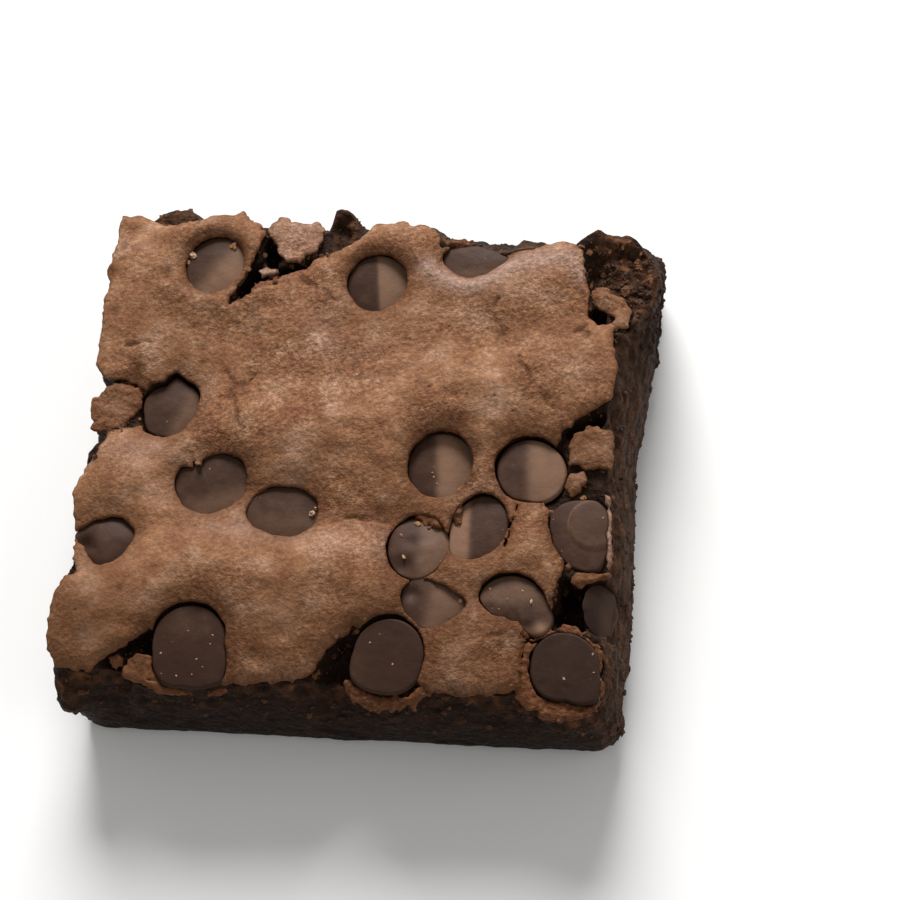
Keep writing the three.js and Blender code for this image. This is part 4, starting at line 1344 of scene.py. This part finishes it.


# Baked crust: a thin, dry, sugar-set skin, with painted shade round the chips, and torn at its edges.
# It gives the eye soft flecks, a dull sheen with a painted pinkish highlight in places, and orange-brown
# edges.
def bakedCrust():
    material, tree = newMaterial("baked brownie crust")
    place = addNode(tree, "ShaderNodeTexCoord").outputs["Object"]
    slant = (0, 0, -math.radians(crust["reliefWay"]))
    mapping = {"Vector": place, "Rotation": slant, "Scale": (0.92, 1.0, 1.0)}
    grainWay = addNode(tree, "ShaderNodeMapping", mapping).outputs[0]
    grainy, glossAndPaintedHighlight = attribute(tree, "grainy"), attribute(tree, "glossAndPaintedHighlight")
    patches = noise(tree, place, 5, 4.0, 0.6)
    colour = coloured(tree, patches, (0.32, "875b3f"), (0.5, "9a6f4f"), (0.68, "b48e73"))
    # toasted brown, with painted shade round the chips and in the grooves
    toastAndShadePart = ranged(tree, attribute(tree, "toastAndPaintedShade"), (0.0, 1.3), (0.0, 0.74))
    colour = layered(tree, toastAndShadePart, colour, linear("5c371b"))
    # painted highlight: the pinkish sheen mixed into the colour
    colour = layered(tree, ranged(tree, glossAndPaintedHighlight, (0.0, 1.0), (0.0, 0.7)), colour, linear("b3978a"))
    tornPart = ranged(tree, attribute(tree, "torn"), (0.0, 1.0), (0.0, 0.65))
    colour = layered(tree, tornPart, colour, linear("6f4528"))
    grain = noise(tree, grainWay, 0.55, 3.0, 0.72)
    flecks = coloured(tree, grain, (0.32, "8c7a6e"), (0.5, "c6b9ae"), (0.6, "efe8e2"), (0.7, "ffffff"))
    colour = layered(tree, grainy, colour, flecks, "MULTIPLY")
    spacing = {"Vector": place, "Scale": 1 / (3.4 * millimetre), "Randomness": 1.0}
    pores = addNode(tree, "ShaderNodeTexVoronoi", spacing)
    pit = ranged(tree, pores.outputs["Distance"], (0.02, 0.09), (0.8, 0.0))
    colour = layered(tree, pit, colour, linear("4a2e1e"))
    grainBump = raised(tree, noise(tree, grainWay, 0.6, 3.0, 0.62), grainy, 0.45)
    pitBump = raised(tree, pit, 0.3, 0.3, grainBump, invert=True)
    close(tree, colour, ranged(tree, glossAndPaintedHighlight, (0.0, 1.0), (0.7, 0.5)), pitBump, 1.45, 0.18)
    return material


# Fudge crumb: dense, moist cake, torn at three sides and cut with a knife at the fourth.
# It gives the eye near-black clods with a painted highlight on their crests, and damp glints.
def fudgeCrumb():
    material, tree = newMaterial("moist fudge crumb")
    place = addNode(tree, "ShaderNodeTexCoord").outputs["Object"]
    lumpy, grains = noise(tree, place, 1.7, 4.0, 0.6), noise(tree, place, 0.6, 3.0, 0.65)
    # the painted highlight on the crests
    paintedCrestHighlights = scaled(tree, attribute(tree, "paintedCrestHighlight"), 0.22, -0.12)
    dryAndShadeTone = scaled(tree, attribute(tree, "dryAndPaintedShade"), 0.16, paintedCrestHighlights)
    clodTone = scaled(tree, lumpy, 1.0, dryAndShadeTone)
    stops = (0.34, "1f130c"), (0.56, "2b1b11"), (0.74, "452b1a"), (0.95, "6c4428")
    colour = coloured(tree, clodTone, *stops)
    dragWay = addNode(tree, "ShaderNodeMapping", {"Vector": place, "Scale": (1.0, 0.3, 1.0)}).outputs[0]
    drag = noise(tree, dragWay, 0.9, 3.0, 0.55)
    dragged = coloured(tree, drag, (0.32, "1f130b"), (0.48, "3c2616"), (0.7, "65422a"))
    colour = layered(tree, scaled(tree, attribute(tree, "smear"), 0.6), colour, dragged)
    bumps = raised(tree, grains, 0.7, 0.6, raised(tree, lumpy, 0.6, 1.4))
    close(tree, colour, ranged(tree, grains, (0.35, 0.65), (0.52, 0.78)), bumps, 1.45, 0.1)
    return material


# Dark chocolate drops, tempered and then warmed in the oven.
# They give the eye an even brown with a satin sheen, a pale bloom, and a painted highlight on part of each
# top.
def bakedChocolate():
    material, tree = newMaterial("dark chocolate drop")
    place = addNode(tree, "ShaderNodeTexCoord").outputs["Object"]
    bloom, dust = noise(tree, place, 2.6, 5.0, 0.62), noise(tree, place, 0.4, 2.0)
    # the painted highlight, with the bloom's paler patches, as one amount for the colour
    lighter = scaled(tree, attribute(tree, "chipPaintedHighlight"), 1.0, scaled(tree, bloom, 0.6, -0.2))
    lighter = ranged(tree, lighter, (-0.5, 1.2), (0.0, 1.0))
    colour = coloured(tree, lighter, (0.0, "291911"), (0.35, "3f2a1f"), (1.0, "84644f"))
    satin = ranged(tree, bloom, (0.3, 0.7), (0.54, 0.66))
    close(tree, colour, satin, raised(tree, dust, 0.12, 0.3), 1.47, 0.16)
    return material


# Dry crumbs broken from crust and cake: the tone of each, from near-black cake to pale crust, is its own.
def dryCrumbs():
    material, tree = newMaterial("dry cake crumbs")
    place = addNode(tree, "ShaderNodeTexCoord").outputs["Object"]
    tone = attribute(tree, "tone")
    colour = coloured(tree, tone, (0.0, "1c110b"), (0.45, "6a4226"), (0.75, "a1714a"), (1.0, "c9a98c"))
    bumps = raised(tree, noise(tree, place, 0.4, 3.0, 0.7), 0.8, 0.3)
    close(tree, colour, 0.65, bumps, 1.45, 0.3)
    return material


# Matt paper: smooth and white all over, so that the eye sees only the shadow on it.
def whitePaper():
    material, tree = newMaterial("matt white paper sweep")
    close(tree, linear(studio["floorColour"]), 0.9)
    return material


crustLook, crumbLook, chocolateLook, bitsLook = bakedCrust(), fudgeCrumb(), bakedChocolate(), dryCrumbs()
print("materials made")

crumbPiece = makeCrumb(crumbLook)
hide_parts("brownie")
makeCrust("crust", [{"outline": mainSheet}], crust["step"], crustLook)
makeCrust("broken_crust", list(brokenSheets.values()), crust["brokenStep"], crustLook)
for name, chip in chips.items():
    makeChip(name, chip, chocolateLook)
makeBits(bitsLook)


# Floor, light and camera

studio = {
    "floorColour": "f4f3f1",
    "floorHalf": 3.0,  # half the floor's width, in metres
    "worldStrength": 0.34,
    "keyWay": (-0.08, 0.84, 0.54),  # from the slab towards the light
    "keyDistance": 1.3,
    "keySize": 0.7,
    "keyPower": 27.0,
    "fillWay": (0.9, -0.1, 0.5),
    "fillDistance": 0.9,
    "fillSize": 0.8,
    "fillPower": 1.6,
}

half = studio["floorHalf"]
floorMesh = bpy.data.meshes.new("table_top")
corners = [(-half, -half, 0), (half, -half, 0), (half, half, 0), (-half, half, 0)]
floorMesh.from_pydata(corners, [], [(0, 1, 2, 3)])
floor = bpy.data.objects.new("table_top", floorMesh)
bpy.context.scene.collection.objects.link(floor)
floorMesh.materials.append(whitePaper())


# a round soft light, out from the slab along its own direction and turned to face it
def addSoftLight(name):
    light = bpy.data.lights.new(name + "_light", "AREA")
    light.shape, light.size, light.energy = "DISK", studio[name + "Size"], studio[name + "Power"]
    lamp = bpy.data.objects.new(name + "_light", light)
    bpy.context.scene.collection.objects.link(lamp)
    direction = np.array(studio[name + "Way"])
    lamp.location = direction / np.linalg.norm(direction) * studio[name + "Distance"]
    lamp.rotation_euler = lamp.location.to_track_quat("Z", "Y").to_euler()


addSoftLight("key")
addSoftLight("fill")

world = bpy.data.worlds.new("studio")
world.use_nodes = True
backdrop = world.node_tree.nodes["Background"]
backdrop.inputs["Color"].default_value = (1, 1, 1, 1)
backdrop.inputs["Strength"].default_value = studio["worldStrength"]
bpy.context.scene.world = world
bpy.context.scene.view_settings.view_transform = "Standard"

# The camera stands where the photo's camera stood to the slab, which leant back there and lies here:
# angles in degrees, distances in millimetres, and the lens's focal length for a film of the given width.
view = {
    "azimuth": 29.09,
    "elevation": 67.15,
    "roll": -24.8,
    "distance": 350.3,
    "aside": (10.16, 7.58),
    "focal": 104.0,
    "filmWidth": 36.0,
}
azimuth, elevation, roll = (math.radians(view[key]) for key in ("azimuth", "elevation", "roll"))
outwards = math.cos(elevation)
back = np.array([math.sin(azimuth) * outwards, -math.cos(azimuth) * outwards, math.sin(elevation)])
level = np.array([math.cos(azimuth), math.sin(azimuth), 0.0])
upright = np.cross(back, level)
right = math.cos(roll) * level + math.sin(roll) * upright
up = math.cos(roll) * upright - math.sin(roll) * level
eye = toFrame([back * view["distance"] + right * view["aside"][0] + up * view["aside"][1]])[0]
cameraData = bpy.data.cameras.new("camera")
cameraData.lens, cameraData.sensor_width = view["focal"], view["filmWidth"]
cameraData.clip_start = 0.01
camera = bpy.data.objects.new("camera", cameraData)
bpy.context.scene.collection.objects.link(camera)
camera.matrix_world = Matrix([[right[i], up[i], back[i], eye[i]] for i in range(3)] + [[0, 0, 0, 1]])
bpy.context.scene.camera = camera
print("studio set")
